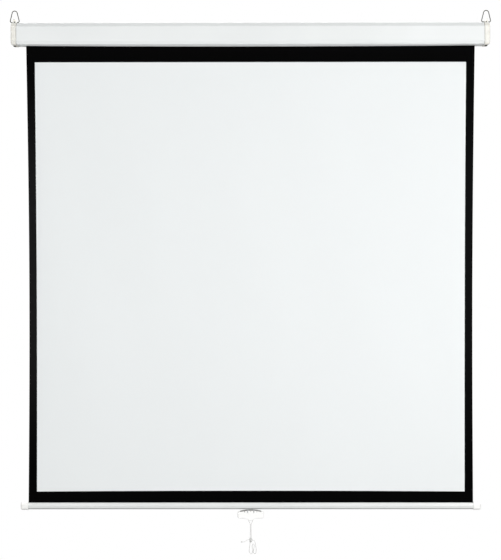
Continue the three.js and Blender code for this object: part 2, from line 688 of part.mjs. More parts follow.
function sheetPlace(x, z) {
  const down = Math.min(Math.max((SLOT_Z - z) / (SLOT_Z - BAR_TOP), 0), 1);
  const across = x / (2 * SHEET_HALF);
  const free = Math.sin(Math.PI * down);
  const edge = Math.max(0, 1 - (SHEET_HALF - Math.abs(x)) / CURL_REACH) ** 2;
  const waves = WAVE_SHARES.reduce((sum, wave) => {
    const turns = wave.across * across + wave.down * down;
    return sum + wave.share * Math.sin(2 * Math.PI * turns + wave.phase);
  }, 0);
  const [fromX, fromZ] = [CREASE_FROM_SHARES[0] * 2 * SHEET_HALF, CREASE_FROM_SHARES[1] * VIEW_HEIGHT];
  const [toX, toZ] = [CREASE_TO_SHARES[0] * 2 * SHEET_HALF, CREASE_TO_SHARES[1] * VIEW_HEIGHT];
  const along = new THREE.Vector2(toX - fromX, toZ - fromZ).normalize();
  const place = new THREE.Vector2(x - fromX, VIEW_TOP - z - fromZ);
  const off = along.cross(place) / CREASE_WIDTH;
  const begun = THREE.MathUtils.smoothstep(down, CREASE_FROM_SHARES[1], 1);
  const crease = CREASE_DEPTH * Math.exp(-off * off) * begun;
  const y = SHEET_Y + free * (CURL_DEPTH * edge + WAVE_DEPTH * waves * (1 - edge) - crease);
  const draw = x < 0 ? CURL_DRAW_LEFT : -CURL_DRAW_RIGHT;
  return [x + draw * edge * free, y, z];
}

// A thin piece of the sheet over a grid of columns and rows.
function cloth(columns, rows) {
  const places = [];
  const faces = [];
  for (const side of [-1, 1]) {
    for (const z of rows) {
      for (const x of columns) {
        const [px, py, pz] = sheetPlace(x, z);
        places.push(px, py + (side * FABRIC) / 2, pz);
      }
    }
  }
  const [wide, layer] = [columns.length, columns.length * rows.length];
  const quad = (a, b, c, d) => faces.push(a, b, c, a, c, d);
  for (let r = 0; r + 1 < rows.length; r++) {
    for (let c = 0; c + 1 < wide; c++) {
      const at = r * wide + c;
      quad(at, at + wide, at + wide + 1, at + 1);
      quad(layer + at, layer + at + 1, layer + at + wide + 1, layer + at + wide);
    }
    const [left, right] = [r * wide, r * wide + wide - 1];
    quad(left, layer + left, layer + left + wide, left + wide);
    quad(right, right + wide, layer + right + wide, layer + right);
  }
  const last = (rows.length - 1) * wide;
  for (let c = 0; c + 1 < wide; c++) {
    quad(c, c + 1, layer + c + 1, layer + c);
    quad(last + c, layer + last + c, layer + last + c + 1, last + c + 1);
  }
  const geometry = new THREE.BufferGeometry();
  geometry.setAttribute("position", new THREE.Float32BufferAttribute(places, 3));
  geometry.setIndex(faces);
  return solidOf(geometry);
}

const PANEL_COLUMN_SHARES = [0, 0.035, 0.075, 0.16, 0.27, 0.38, 0.5, 0.62, 0.73, 0.84, 0.925, 0.965, 1];
const PANEL_ROW_SHARES = [0, 0.06, 0.13, 0.2, 0.28, 0.36, 0.44, 0.52, 0.6, 0.68, 0.76, 0.84, 0.92, 1];

function spread(from, to, shares) {
  return shares.map((share) => from + (to - from) * share);
}

// White panel with a black strip joined on each side of it. They meet edge to edge, in one layer.
function sheet() {
  const half = VIEW_WIDTH / 2;
  const columns = spread(-half, half, PANEL_COLUMN_SHARES);
  const allColumns = [-SHEET_HALF, ...columns, SHEET_HALF];
  const rows = spread(VIEW_FOOT, VIEW_TOP, PANEL_ROW_SHARES);
  const hemTop = BAR_TOP - BAR_WALL - FIT;
  piece("screen_fabric", cloth(columns, rows), MATT_WHITE);
  piece("border_drop_top", cloth(allColumns, [VIEW_TOP + FIT, SLOT_Z, SLOT_Z / 2, 0]), MATT_BLACK);
  piece("border_bottom", cloth(allColumns, [hemTop, BAR_TOP, VIEW_FOOT - FIT]), MATT_BLACK);
  piece("border_right", cloth([half + FIT, half + BORDER_SIDE / 2, SHEET_HALF], rows), MATT_BLACK);
  piece("border_left", cloth([-SHEET_HALF, -half - BORDER_SIDE / 2, -half - FIT], rows), MATT_BLACK);
}

// Places of the bracket's two ears, from the middle.
const EAR_PLACES = [-EAR_SPACING / 2, EAR_SPACING / 2];

// Bottom bar: an oval tube slotted along its top for the fabric and twice below for the bracket's ears.
function bottomBar() {
  const outside = alongX(rounded(BAR_CORNERS), -BAR_HALF, BAR_HALF);
  const inside = alongX(rounded(inset(BAR_CORNERS, BAR_WALL)), -BAR_HALF - OVERRUN, BAR_HALF + OVERRUN);
  const [front, back] = [SHEET_Y - BAR_SLOT / 2, SHEET_Y + BAR_SLOT / 2];
  const slot = box(-WASTE, WASTE, front, back, BAR_TOP - BAR_WALL - OVERRUN, BAR_TOP + OVERRUN);
  const earSlots = EAR_PLACES.map((x) => {
    const [halfEar, halfDepth] = [EAR / 2 + FIT, EAR_DEPTH / 2 + FIT];
    const [y0, y1] = [SHEET_Y - halfDepth, SHEET_Y + halfDepth];
    return box(x - halfEar, x + halfEar, y0, y1, BAR_FOOT - OVERRUN, BAR_FOOT + BAR_WALL + BAR_ROUND / 2);
  });
  piece("bottom_bar", cut(outside, inside, slot, ...earSlots), WHITE_STEEL);
}

// Right-hand cap on the bar: a collar, a rounded body and a hollow plug inside the tube.
function barCap() {
  const bodyCorners = inset(BAR_CORNERS, -BAR_CAP_PROUD);
  const body = roundEnded(bodyCorners, BAR_HALF + FIT, BAR_HALF + BAR_CAP_LENGTH, BAR_CAP_ROUND);
  const collarCorners = rounded(inset(BAR_CORNERS, -BAR_CAP_PROUD - BAR_COLLAR_PROUD));
  const collar = alongX(collarCorners, BAR_HALF + FIT, BAR_HALF + BAR_COLLAR);
  const plugCorners = inset(BAR_CORNERS, BAR_WALL + FIT);
  const plugFrom = BAR_HALF - BAR_PLUG;
  const collarTo = BAR_HALF + BAR_COLLAR;
  const plug = alongX(rounded(plugCorners), plugFrom, collarTo);
  const hollow = alongX(rounded(inset(plugCorners, BAR_CAP_WALL)), plugFrom - OVERRUN, collarTo);
  return cut(join(body, collar, plug), hollow);
}

// The hem: the fabric's last edge looped round a rod that is wider than the bar's slot.
function hem() {
  const hemZ = BAR_TOP - BAR_WALL - 2 * FIT - FABRIC - FIT - HEM_ROD / 2;
  const half = BAR_HALF - HEM_SHORTER;
  piece("hem_rod", alongX(circle(HEM_ROD, SMALL_SIDES, SHEET_Y, hemZ), -half, half), ZINC_STEEL);
  const loop = alongX(circle(HEM_ROD + 2 * (FIT + FABRIC), SMALL_SIDES, SHEET_Y, hemZ), -half, half);
  const bore = alongX(circle(HEM_ROD + 2 * FIT, SMALL_SIDES, SHEET_Y, hemZ), -WASTE, WASTE);
  piece("fabric_hem", cut(loop, bore), MATT_BLACK);
}

// Bracket: a strip on the bar's inner floor whose two ears go down through it to the handle's pin.
function handleBracket() {
  const floor = BAR_FOOT + BAR_WALL + FIT;
  const [y0, y1] = [SHEET_Y - EAR_DEPTH / 2, SHEET_Y + EAR_DEPTH / 2];
  const [half, seat] = [BRACKET_LENGTH / 2, floor + BAR_ROUND / 2];
  const strip = box(-half, half, y0, y1, seat, seat + BRACKET_PLATE);
  const ears = EAR_PLACES.map((x) => box(x - EAR / 2, x + EAR / 2, y0, y1, PIN_Z - EAR_BELOW_PIN, seat));
  const inner = alongX(rounded(inset(BAR_CORNERS, BAR_WALL + FIT)), -BRACKET_LENGTH, BRACKET_LENGTH);
  const hole = alongX(circle(PIN + 2 * FIT, SMALL_SIDES, SHEET_Y, PIN_Z), -BRACKET_LENGTH, BRACKET_LENGTH);
  piece("handle_bracket", cut(join(strip.intersect(inner), ...ears), hole), ZINC_STEEL);
  const pin = alongX(circle(PIN, SMALL_SIDES, SHEET_Y, PIN_Z), -PIN_LENGTH / 2, PIN_LENGTH / 2);
  piece("handle_pin", pin, ZINC_STEEL);
}

// Height of the handle's lower edge under the pin: flat at the sides, with a bulge in the middle.
function handleFoot(x) {
  const reach = Math.min(Math.abs(x) / (HANDLE_BULGE_WIDTH / 2), 1);
  return -HANDLE_FOOT - (HANDLE_BULGE * (1 + Math.cos(Math.PI * reach))) / 2;
}

// Front outline of the handle, as (x, z) points about the pin.
function handleOutline() {
  const [half, shoulder] = [HANDLE_WIDTH / 2, HANDLE_SHOULDER / 2];
  const crown = HANDLE_DEPTH / 2;
  const archShares = [-1, -0.8, -0.6, -0.4, -0.2, 0, 0.2, 0.4, 0.6, 0.8, 1];
  const arch = archShares.map((share) => [share * shoulder, crown - HANDLE_ARCH * share * share, 0]);
  const bulge = archShares.map((share) => {
    const x = (-share * HANDLE_BULGE_WIDTH) / 2;
    return [x, handleFoot(x), 0];
  });
  const rightSide = [
    [half, -HANDLE_SIDE_TOP, HANDLE_ROUND],
    [half, -HANDLE_SIDE_FOOT, HANDLE_ROUND],
    [shoulder, -HANDLE_FOOT, HANDLE_ROUND],
  ];
  const leftSide = rightSide.map(([x, z, round]) => [-x, z, round]).reverse();
  const outline = rounded([...arch, ...rightSide, ...bulge, ...leftSide]);
  return outline.map((p) => new THREE.Vector2(p.x, p.y + PIN_Z));
}

// Side outline of the handle, as (y, z) points: round about the pin at the top and slimmer at the foot.
function handleSide() {
  const radius = HANDLE_DEPTH / 2;
  const crown = Array.from({ length: 2 * ARC_STEPS + 1 }, (_, k) => {
    const angle = (Math.PI * k) / (2 * ARC_STEPS);
    return [SHEET_Y + radius * Math.cos(angle), PIN_Z + radius * Math.sin(angle), 0];
  });
  const foot = PIN_Z - HANDLE_FOOT - HANDLE_BULGE - HANDLE_ROUND;
  const half = HANDLE_FOOT_DEPTH / 2;
  return rounded([...crown, [SHEET_Y - half, foot, 0], [SHEET_Y + half, foot, 0]]);
}

// Pull handle: a moulding open at the back for fingers, slotted for the ears, bored for pin and cord.
function pullHandle() {
  const [front, back] = [SHEET_Y - HANDLE_DEPTH / 2, SHEET_Y + HANDLE_DEPTH / 2];
  const blank = alongY(handleOutline(), front - OVERRUN, back + OVERRUN);
  const block = blank.intersect(alongX(handleSide(), -HANDLE_WIDTH, HANDLE_WIDTH));
  const half = RECESS_WIDTH / 2;
  const recessCorners = [
    [-half, PIN_Z - RECESS_FOOT, RECESS_ROUND],
    [half, PIN_Z - RECESS_FOOT, RECESS_ROUND],
    [half, PIN_Z - RECESS_TOP, RECESS_ROUND],
    [-half, PIN_Z - RECESS_TOP, RECESS_ROUND],
  ];
  const recess = alongY(rounded(recessCorners), front + RECESS_FRONT_WALL, back + OVERRUN);
  const earSlots = EAR_PLACES.map((x) => {
    const halfEar = EAR / 2 + FIT;
    const foot = PIN_Z - Math.hypot(EAR_DEPTH / 2, EAR_BELOW_PIN) - FIT;
    return box(x - halfEar, x + halfEar, front - OVERRUN, back + OVERRUN, foot, PIN_Z + HANDLE_DEPTH);
  });
  const pinHalf = PIN_LENGTH / 2 + FIT;
  const pinBore = alongX(circle(PIN + 2 * FIT, SMALL_SIDES, SHEET_Y, PIN_Z), -pinHalf, pinHalf);
  const cordHoles = [-CORD_HOLE_SPACING / 2, CORD_HOLE_SPACING / 2].map((x) => {
    const foot = PIN_Z - HANDLE_FOOT - HANDLE_BULGE - OVERRUN;
    return alongZ(circle(CORD_HOLE, SMALL_SIDES, x, SHEET_Y), foot, PIN_Z - RECESS_FOOT + OVERRUN);
  });
  piece("pull_handle", cut(block, recess, ...earSlots, pinBore, ...cordHoles), WHITE_PLASTIC);
}

// Where the cord leaves the handle, and the height that it swings about.
const MOUTH_Z = PIN_Z + handleFoot(CORD_HOLE_SPACING / 2);
const CORD_PIVOT_Z = MOUTH_Z - FIT - CORD / 2;
const KNOT_TOP = MOUTH_Z - KNOT_DROP;
const KNOT_FOOT = KNOT_TOP - KNOT_HEIGHT;

// Where along its arch the loop inside the handle is drawn, from one hole to the other
const ARCH_SHARES = [1 / 6, 1 / 3, 1 / 2, 2 / 3, 5 / 6];

// The piece of cord inside the handle: up one hole, in an arch over the web and down the other.
function cordLoop() {
  const x = CORD_HOLE_SPACING / 2;
  const floor = PIN_Z - RECESS_FOOT;
  const arch = ARCH_SHARES.map((share) => {
    const angle = Math.PI * (1 - share);
    return [x * Math.cos(angle), SHEET_Y, floor + LOOP_RISE * Math.sin(angle)];
  });
  const leg = [MOUTH_Z, MOUTH_Z + CORD, floor - CORD];
  const route = routeThrough([
    ...leg.map((z) => [-x, SHEET_Y, z]),
    ...arch,
    ...leg.toReversed().map((z) => [x, SHEET_Y, z]),
  ]);
  piece("cord_loop", tubeAlong(route, CORD, CORD_SIDES, LOOP_STEPS), WHITE_CORD);
}

// How far in and how far down a strand has come, as it slants in from its hole to its fellow
const STRAND_SLANT_SHARES = [[0, 0], [0.03, 0.12], [0.36, 0.42], [0.72, 0.74], [0.93, 1], [1, 1.3]];

// One of the two strands from the handle to the knot, with a round top end that it swings about.
function cordStrand(side) {
  const x = (side * CORD_HOLE_SPACING) / 2;
  const pair = (side * CORD_PAIR) / 2;
  const meet = CORD_PIVOT_Z - CORD_MEET_DROP;
  const slantPlaces = STRAND_SLANT_SHARES.map(([in_, down]) => {
    return [x + (pair - x) * in_, SHEET_Y, CORD_PIVOT_Z - CORD_MEET_DROP * down];
  });
  const route = routeThrough([
    ...slantPlaces,
    [pair, SHEET_Y, (meet + KNOT_TOP) / 2],
    [pair, SHEET_Y, KNOT_TOP + FIT + CORD],
    [pair, SHEET_Y, KNOT_TOP + FIT],
  ]);
  const ball = new THREE.SphereGeometry(CORD / 2, CORD_SIDES, CORD_SIDES / 2);
  ball.rotateX(Math.PI / 2).translate(x, SHEET_Y, CORD_PIVOT_Z);
  return join(tubeAlong(route, CORD, CORD_SIDES, STRAND_STEPS), solidOf(ball));
}

// Knot bodies swell from flat ends to a round waist
const KNOT_SHARES = [0.62, 0.92, 1, 0.92, 0.62];

// A plump body of revolution about the y axis, standing for a knot.
function knotBody(length, width) {
  const swell = KNOT_SHARES.map((share, i) => {
    const along = i / (KNOT_SHARES.length - 1) - 0.5;
    return new THREE.Vector2((share * width) / 2, along * length);
  });
  const profile = [new THREE.Vector2(0, -length / 2), ...swell, new THREE.Vector2(0, length / 2)];
  return new THREE.LatheGeometry(profile, SMALL_SIDES);
}

// The hank under the knot: two long loops in one unbroken cord, from the knot's foot round to its flank.
// Places are from the middle of the knot's foot.
const HANK_ROUTE = [
  [-2.4, 0, -0.3],
  [-2.4, 0, -2.6],
  [-3.6, 0.2, -9],
  [-5, 0.4, -18],
  [-5.4, 0.4, -28],
  [-4.3, 0.4, -34.2],
  [-0.2, 0.3, -38.6],
  [3.8, 0.1, -37.8],
  [6.5, -0.1, -32.8],
  [6.8, -0.6, -23],
  [5.5, -1.2, -14],
  [4.8, -1.8, -8.8],
  [6.2, -2.4, -4.4],
  [9, -2.8, -3.2],
  [11.8, -3.2, -5.6],
  [12.4, -3.4, -11.5],
  [10.8, -3.3, -20],
  [9.4, -2.9, -28.6],
  [10.5, -2.5, -34.8],
  [14.2, -2.1, -38.2],
  [18, -1.7, -35.6],
  [19.4, -1.3, -29],
  [19.2, -0.9, -20],
  [17.4, -0.5, -9],
  [15.8, -0.2, 0.5],
  [13.8, 0, 6.4],
  [10.8, 0, 9.4],
  [8.3, 0, 10],
  [6.3, 0, 10],
];

// The least gap of a tube to itself, measured on points along it that are not near each other.
function leastGap(curve, diameter, count) {
  const points = curve.getSpacedPoints(count);
  const step = curve.getLength() / count;
  let least = Infinity;
  for (let i = 0; i < points.length; i++) {
    for (let j = i + 1; j < points.length; j++) {
      if ((j - i) * step > 4 * diameter) least = Math.min(least, points[i].distanceTo(points[j]));
    }
  }
  return least - diameter;
}

// The cut-off end of the cord, from the knot's flank to the small knot at its tip.
// Places are from the middle of the knot's top.
const TAIL_ROUTE = [
  [-6.3, 0, -8],
  [-8.9, 0, -8],
  [-13.5, -0.6, -9.8],
  [-18.5, -1, -13.4],
  [-23, -1.2, -15.6],
  [-25, -1.2, -15.8],
  [-27.5, -1.2, -15.8],
];

function cordEnd() {
  piece("cord_strand_left", cordStrand(-1), WHITE_CORD);
  piece("cord_strand_right", cordStrand(1), WHITE_CORD);
  const knot = knotBody(KNOT_HEIGHT, KNOT_WIDTH).rotateX(Math.PI / 2);
  piece("cord_knot", solidOf(knot.translate(0, SHEET_Y, (KNOT_TOP + KNOT_FOOT) / 2)), WHITE_CORD);
  const hank = routeThrough(HANK_ROUTE.map(([x, y, z]) => [x, SHEET_Y + y, KNOT_FOOT + z]));
  console.log(`cord_hank: least gap to itself ${leastGap(hank, CORD, GAP_POINTS).toFixed(2)} mm`);
  piece("cord_hank", tubeAlong(hank, CORD, CORD_SIDES, HANK_STEPS), WHITE_CORD);
  const tail = routeThrough(TAIL_ROUTE.map(([x, y, z]) => [x, SHEET_Y + y, KNOT_TOP + z]));
  piece("cord_tail", tubeAlong(tail, CORD, CORD_SIDES, TAIL_STEPS), WHITE_CORD);
  const [tipX, tipY, tipZ] = TAIL_ROUTE.at(-1);
  const endKnot = knotBody(END_KNOT_LENGTH, END_KNOT_WIDTH).rotateZ(Math.PI / 2);
  endKnot.translate(tipX - FIT - END_KNOT_LENGTH / 2, SHEET_Y + tipY, KNOT_TOP + tipZ);
  piece("cord_end_knot", solidOf(endKnot), WHITE_CORD);
}

housing();
housingEnds();
bails();
rollerTube();
springEnd();
plainEnd();
sheet();
bottomBar();
const rightBarCap = barCap();
piece("bar_cap_right", rightBarCap, WHITE_PLASTIC);
piece("bar_cap_left", mirrored(rightBarCap), WHITE_PLASTIC);
hem();
handleBracket();
pullHandle();
cordLoop();
cordEnd();

export default screen;
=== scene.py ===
"""Dresses a manual pull-down projector screen and sets it in a plain studio.

The screen hangs fully pulled down: a white steel case between two ivory end caps with wire bails, a
matt white sheet with a black border, a white bottom bar, a pull handle and a thin braided cord.
Builders work in millimetres, in the model's own frame, and every mesh is scaled to metres as it is made.
"""

import logging
import math
from collections.abc import Iterable, Sequence
from dataclasses import dataclass, field
from enum import Enum

import bmesh
import bpy
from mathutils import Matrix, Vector


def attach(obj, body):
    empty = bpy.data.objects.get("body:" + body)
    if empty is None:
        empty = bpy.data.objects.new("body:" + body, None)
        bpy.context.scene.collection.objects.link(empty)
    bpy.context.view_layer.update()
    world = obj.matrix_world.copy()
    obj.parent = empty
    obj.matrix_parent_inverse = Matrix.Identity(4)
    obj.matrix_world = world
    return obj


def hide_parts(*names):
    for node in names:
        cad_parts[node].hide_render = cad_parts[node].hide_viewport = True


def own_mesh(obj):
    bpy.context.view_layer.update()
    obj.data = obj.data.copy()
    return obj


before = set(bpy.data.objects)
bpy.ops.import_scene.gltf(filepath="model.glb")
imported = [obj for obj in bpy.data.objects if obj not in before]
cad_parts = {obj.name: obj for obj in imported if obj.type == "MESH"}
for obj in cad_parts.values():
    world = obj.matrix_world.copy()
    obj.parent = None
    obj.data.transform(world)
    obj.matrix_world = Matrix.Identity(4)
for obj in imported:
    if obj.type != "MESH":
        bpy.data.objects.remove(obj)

MM = 0.001
log = logging.getLogger("projector_screen")


class Body(Enum):
    """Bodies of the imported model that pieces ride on."""

    CASE = "case"
    ROLLER = "roller"
    BAR = "bar"
    HANDLE = "handle"
    CORD = "cord"
    BAIL_LEFT = "bail_left_body"
    BAIL_RIGHT = "bail_right_body"


class Side(Enum):
    """The two ends of the screen, as the sign of their place along X."""

    LEFT = -1
    RIGHT = 1

    @property
    def word(self) -> str:
        """The side's name as it stands in node names."""
        return self.name.lower()

    def span(self, inner: float, outer: float) -> list[float]:
        """Gives the two ends along X, the lower first, of a stretch that is counted outwards."""
        return sorted((self.value * inner, self.value * outer))


class Slot(Enum):
    """Material slots of the record."""

    WHITE_STEEL = "white_steel"
    IVORY_PLASTIC = "ivory_plastic"
    WHITE_PLASTIC = "white_plastic"
    DARK_WIRE = "dark_wire"
    ZINC_STEEL = "zinc_steel"
    DARK_SCREW = "dark_screw"
    BARE_ALUMINIUM = "bare_aluminium"
    SPRING_STEEL = "spring_steel"
    GREY_NYLON = "grey_nylon"
    SCREEN_WHITE = "screen_white"
    SCREEN_BLACK = "screen_black"
    WHITE_CORD = "white_cord"


Colour = tuple[float, float, float]
Point2 = tuple[float, float]
Point3 = tuple[float, float, float]
Socket = bpy.types.NodeSocket
Outline = Sequence[Point2]
Piece = bpy.types.Object

UP = Vector((0.0, 0.0, 1.0))
UNSTRETCHED: Point3 = (1.0, 1.0, 1.0)
IN_MM: Point3 = (1 / MM, 1 / MM, 1 / MM)
RISING: Point2 = (0.0, 1.0)
FALLING: Point2 = (1.0, 0.0)
MOST_NOISE: Point2 = (0.3, 0.7)


def about(edge: float, fade: Point2, unit: float = 1.0) -> Point2:
    """Gives the two ends of a fade, which are counted from an edge, and turns them into another unit."""
    return ((edge + fade[0]) * unit, (edge + fade[1]) * unit)


@dataclass(frozen=True)
class Pattern:
    """A noise pattern, and the range of its values that counts.

    It has so many waves a metre, with finer layers on them, on a place stretched along each axis. Its
    source range is mapped to its target range, eased in and out where it is smooth.
    """

    waves: float
    layers: float = 2.0
    stretch: Point3 = UNSTRETCHED
    source: Point2 = MOST_NOISE
    target: Point2 = RISING
    smooth: bool = False


# Noise that makes painted shade uneven.
SHADE_UNEVENNESS = Pattern(500.0, 3.0, target=(0.86, 1.0))


class Recipe:
    """Node tree of one material, with short ways to add the nodes that finishes share."""

    def __init__(self, name: str, roughness: float, metallic: float = 0.0) -> None:
        """Starts a material.

        Args:
            name: The material's name.
            roughness: The shader's roughness until a node drives it.
            metallic: The shader's metallic value.
        """
        self.material = bpy.data.materials.new(name)
        self.material.use_nodes = True
        self.tree = self.material.node_tree
        self.shader = self.tree.nodes["Principled BSDF"]
        self.set("Roughness", roughness)
        self.set("Metallic", metallic)

    def set(self, socket: str, value: float | Colour) -> None:
        """Sets a uniform number or colour on one of the shader's own sockets."""
        room = self.shader.inputs[socket]
        room.default_value = (*value, 1.0) if room.type == "RGBA" else value

    def drive(self, socket: str, source: Socket) -> None:
        """Links a varying value to one of the shader's sockets."""
        self.tree.links.new(source, self.shader.inputs[socket])

    def paint(self, colour: Socket) -> None:
        """Links a varying colour to the shader."""
        self.drive("Base Color", colour)

    def painted(self) -> Socket:
        """Gives the varying colour that the shader has so far."""
        return self.shader.inputs["Base Color"].links[0].from_socket

    def node(self, kind: str, inputs: dict[str | int, object], **settings: object) -> bpy.types.Node:
        """Adds a node.

        Args:
            kind: Blender's name for the node type.
            inputs: Values or sockets for its inputs, by name or place.
            settings: Values for its properties.

        Returns:
            The new node.
        """
        made = self.tree.nodes.new(kind)
        for name, value in settings.items():
            setattr(made, name, value)
        for name, value in inputs.items():
            if isinstance(value, Socket):
                self.tree.links.new(value, made.inputs[name])
            else:
                made.inputs[name].default_value = value
        return made

    def place(self, stretch: Point3 = UNSTRETCHED) -> Socket:
        """Gives the place on the object, in metres, stretched by a factor along each axis."""
        source = self.node("ShaderNodeTexCoord", {}).outputs["Object"]
        return self.node("ShaderNodeMapping", {"Vector": source, "Scale": stretch}).outputs["Vector"]

    def split(self, place: Socket) -> tuple[Socket, Socket, Socket]:
        """Gives a place's X, Y and Z."""
        parts = self.node("ShaderNodeSeparateXYZ", {"Vector": place}).outputs
        return parts["X"], parts["Y"], parts["Z"]

    def noise(self, pattern: Pattern) -> Socket:
        """Gives a noise pattern's own value, from 0 to 1."""
        inputs = {"Vector": self.place(pattern.stretch), "Scale": pattern.waves, "Detail": pattern.layers}
        return self.node("ShaderNodeTexNoise", inputs).outputs["Fac"]

    def varied(self, pattern: Pattern) -> Socket:
        """Gives a noise pattern's value, mapped to its target range."""
        return self.spread(self.noise(pattern), pattern.source, pattern.target, pattern.smooth)

    def roughened(self, pattern: Pattern, roughness: float) -> None:
        """Lets a pattern drive the shader's roughness, with its target range counted from the finish's."""
        span = about(roughness, pattern.target)
        self.drive("Roughness", self.spread(self.noise(pattern), pattern.source, span))

    def spread(self, value: Socket, source: Point2, target: Point2, smooth: bool = False) -> Socket:
        """Maps a value from one range to another, held at its ends.

        Args:
            value: The value.
            source: The range that it has.
            target: The range that it gets.
            smooth: Whether to ease in and out.

        Returns:
            The mapped value.
        """
        names = ("From Min", "From Max", "To Min", "To Max")
        inputs = {"Value": value, **dict(zip(names, (*source, *target)))}
        kind = "SMOOTHSTEP" if smooth else "LINEAR"
        return self.node("ShaderNodeMapRange", inputs, interpolation_type=kind).outputs["Result"]

    def math(self, operation: str, first: Socket | float, second: Socket | float = 0.0) -> Socket:
        """Adds a calculation on one or two numbers, by Blender's name for it."""
        return self.node("ShaderNodeMath", {0: first, 1: second}, operation=operation).outputs[0]

    def product(self, first: Socket | float, second: Socket | float) -> Socket:
        """Multiplies two numbers."""
        return self.math("MULTIPLY", first, second)

    def mixed(self, share: Socket, first: Colour | Socket, second: Colour | Socket) -> Socket:
        """Mixes two colours by a varying share.

        Args:
            share: How much of the second colour shows.
            first: The colour at 0.
            second: The colour at 1.

        Returns:
            The mixed colour.
        """
        node = self.node("ShaderNodeMix", {"Factor": share}, data_type="RGBA")
        first_colour, second_colour, result = 6, 7, 2
        for place, value in ((first_colour, first), (second_colour, second)):
            if isinstance(value, tuple):
                node.inputs[place].default_value = (*value, 1.0)
            else:
                self.tree.links.new(value, node.inputs[place])
        return node.outputs[result]

    def paint_shade(self, share: Socket, strength: float) -> None:
        """Darkens the shader's colour where a share says so: painted shade, made uneven by a noise pattern.

        Args:
            share: Where it is darkened, from 0 to 1.
            strength: How much of the colour stays there.
        """
        kept = self.spread(self.product(share, self.varied(SHADE_UNEVENNESS)), RISING, (1.0, strength))
        inputs = {0: self.painted(), 1: kept}
        self.paint(self.node("ShaderNodeVectorMath", inputs, operation="MULTIPLY").outputs[0])

    def bumped(self, height: Socket, depth: float, under: Socket | None = None) -> Socket:
        """Turns a height pattern into relief.

        Args:
            height: The pattern, from 0 to 1.
            depth: How many millimetres it stands at most.
            under: A relief that this one lies on.

        Returns:
            The bent normal.
        """
        inputs: dict[str | int, object] = {"Height": height, "Distance": depth * MM, "Strength": 1.0}
        if under is not None:
            inputs["Normal"] = under
        return self.node("ShaderNodeBump", inputs).outputs["Normal"]


@dataclass(frozen=True)
class Finish:
    """A surface finish. Each kind makes its own material, once."""

    name: str
    slot: Slot
    colour: Colour

    def recipe(self) -> Recipe:
        """Builds the finish's node tree; each kind of finish has its own."""
        raise NotImplementedError

    def material(self) -> bpy.types.Material:
        """Gives the finish's material, made the first time it is asked for."""
        found = bpy.data.materials.get(self.name)
        return found if found is not None else self.recipe().material

    def shaded(self, share: float) -> Colour:
        """Gives the finish's colour, darkened to a share of itself."""
        return tuple(value * share for value in self.colour)


@dataclass(frozen=True)
class PaintedSteel(Finish):
    """Powder-coated sheet steel: fine orange peel, soft cloudiness, faint handling marks and, where a height
    is given, painted shade below it.
    """

    roughness: float = 0.36
    peel: float = 0.035
    ripple: float = 0.12
    cloudy: float = 0.972
    marked: float = 0.86
    lacquer: float = 0.15
    lacquer_roughness: float = 0.25
    # Painted shade: below this height, in millimetres, the coat is darkened as a shaded underside.
    painted_shade_below: float | None = None
    painted_shade_fade: Point2 = (-0.8, 0.4)
    painted_shade_share: float = 0.5
    clouds: Pattern = Pattern(4.0, 3.0, source=(0.35, 0.65), smooth=True)
    marks: Pattern = Pattern(60.0, 6.0, (0.2, 1.0, 1.0), (0.66, 0.78), (0.0, 0.35))
    gloss: Pattern = Pattern(25.0, 4.0, (0.3, 1.0, 1.0), target=(-0.06, 0.1))
    rolling: Pattern = Pattern(9.0, 1.0, (0.25, 1.0, 1.0))
    pores: Pattern = Pattern(620.0, 1.0)

    def recipe(self) -> Recipe:
        """Builds the coat, with painted shade below a height where one is given.

        Returns:
            The recipe.
        """
        recipe = Recipe(self.name, self.roughness)
        coat = recipe.mixed(recipe.varied(self.clouds), self.colour, self.shaded(self.cloudy))
        recipe.paint(recipe.mixed(recipe.varied(self.marks), coat, self.shaded(self.marked)))
        recipe.roughened(self.gloss, self.roughness)
        rolled = recipe.bumped(recipe.noise(self.rolling), self.ripple)
        recipe.drive("Normal", recipe.bumped(recipe.noise(self.pores), self.peel, rolled))
        recipe.set("Coat Weight", self.lacquer)
        recipe.set("Coat Roughness", self.lacquer_roughness)
        # Painted shade on the underside, below the given height.
        if self.painted_shade_below is not None:
            _, _, height = recipe.split(recipe.place())
            span = about(self.painted_shade_below, self.painted_shade_fade, MM)
            recipe.paint_shade(recipe.spread(height, span, FALLING), self.painted_shade_share)
        return recipe


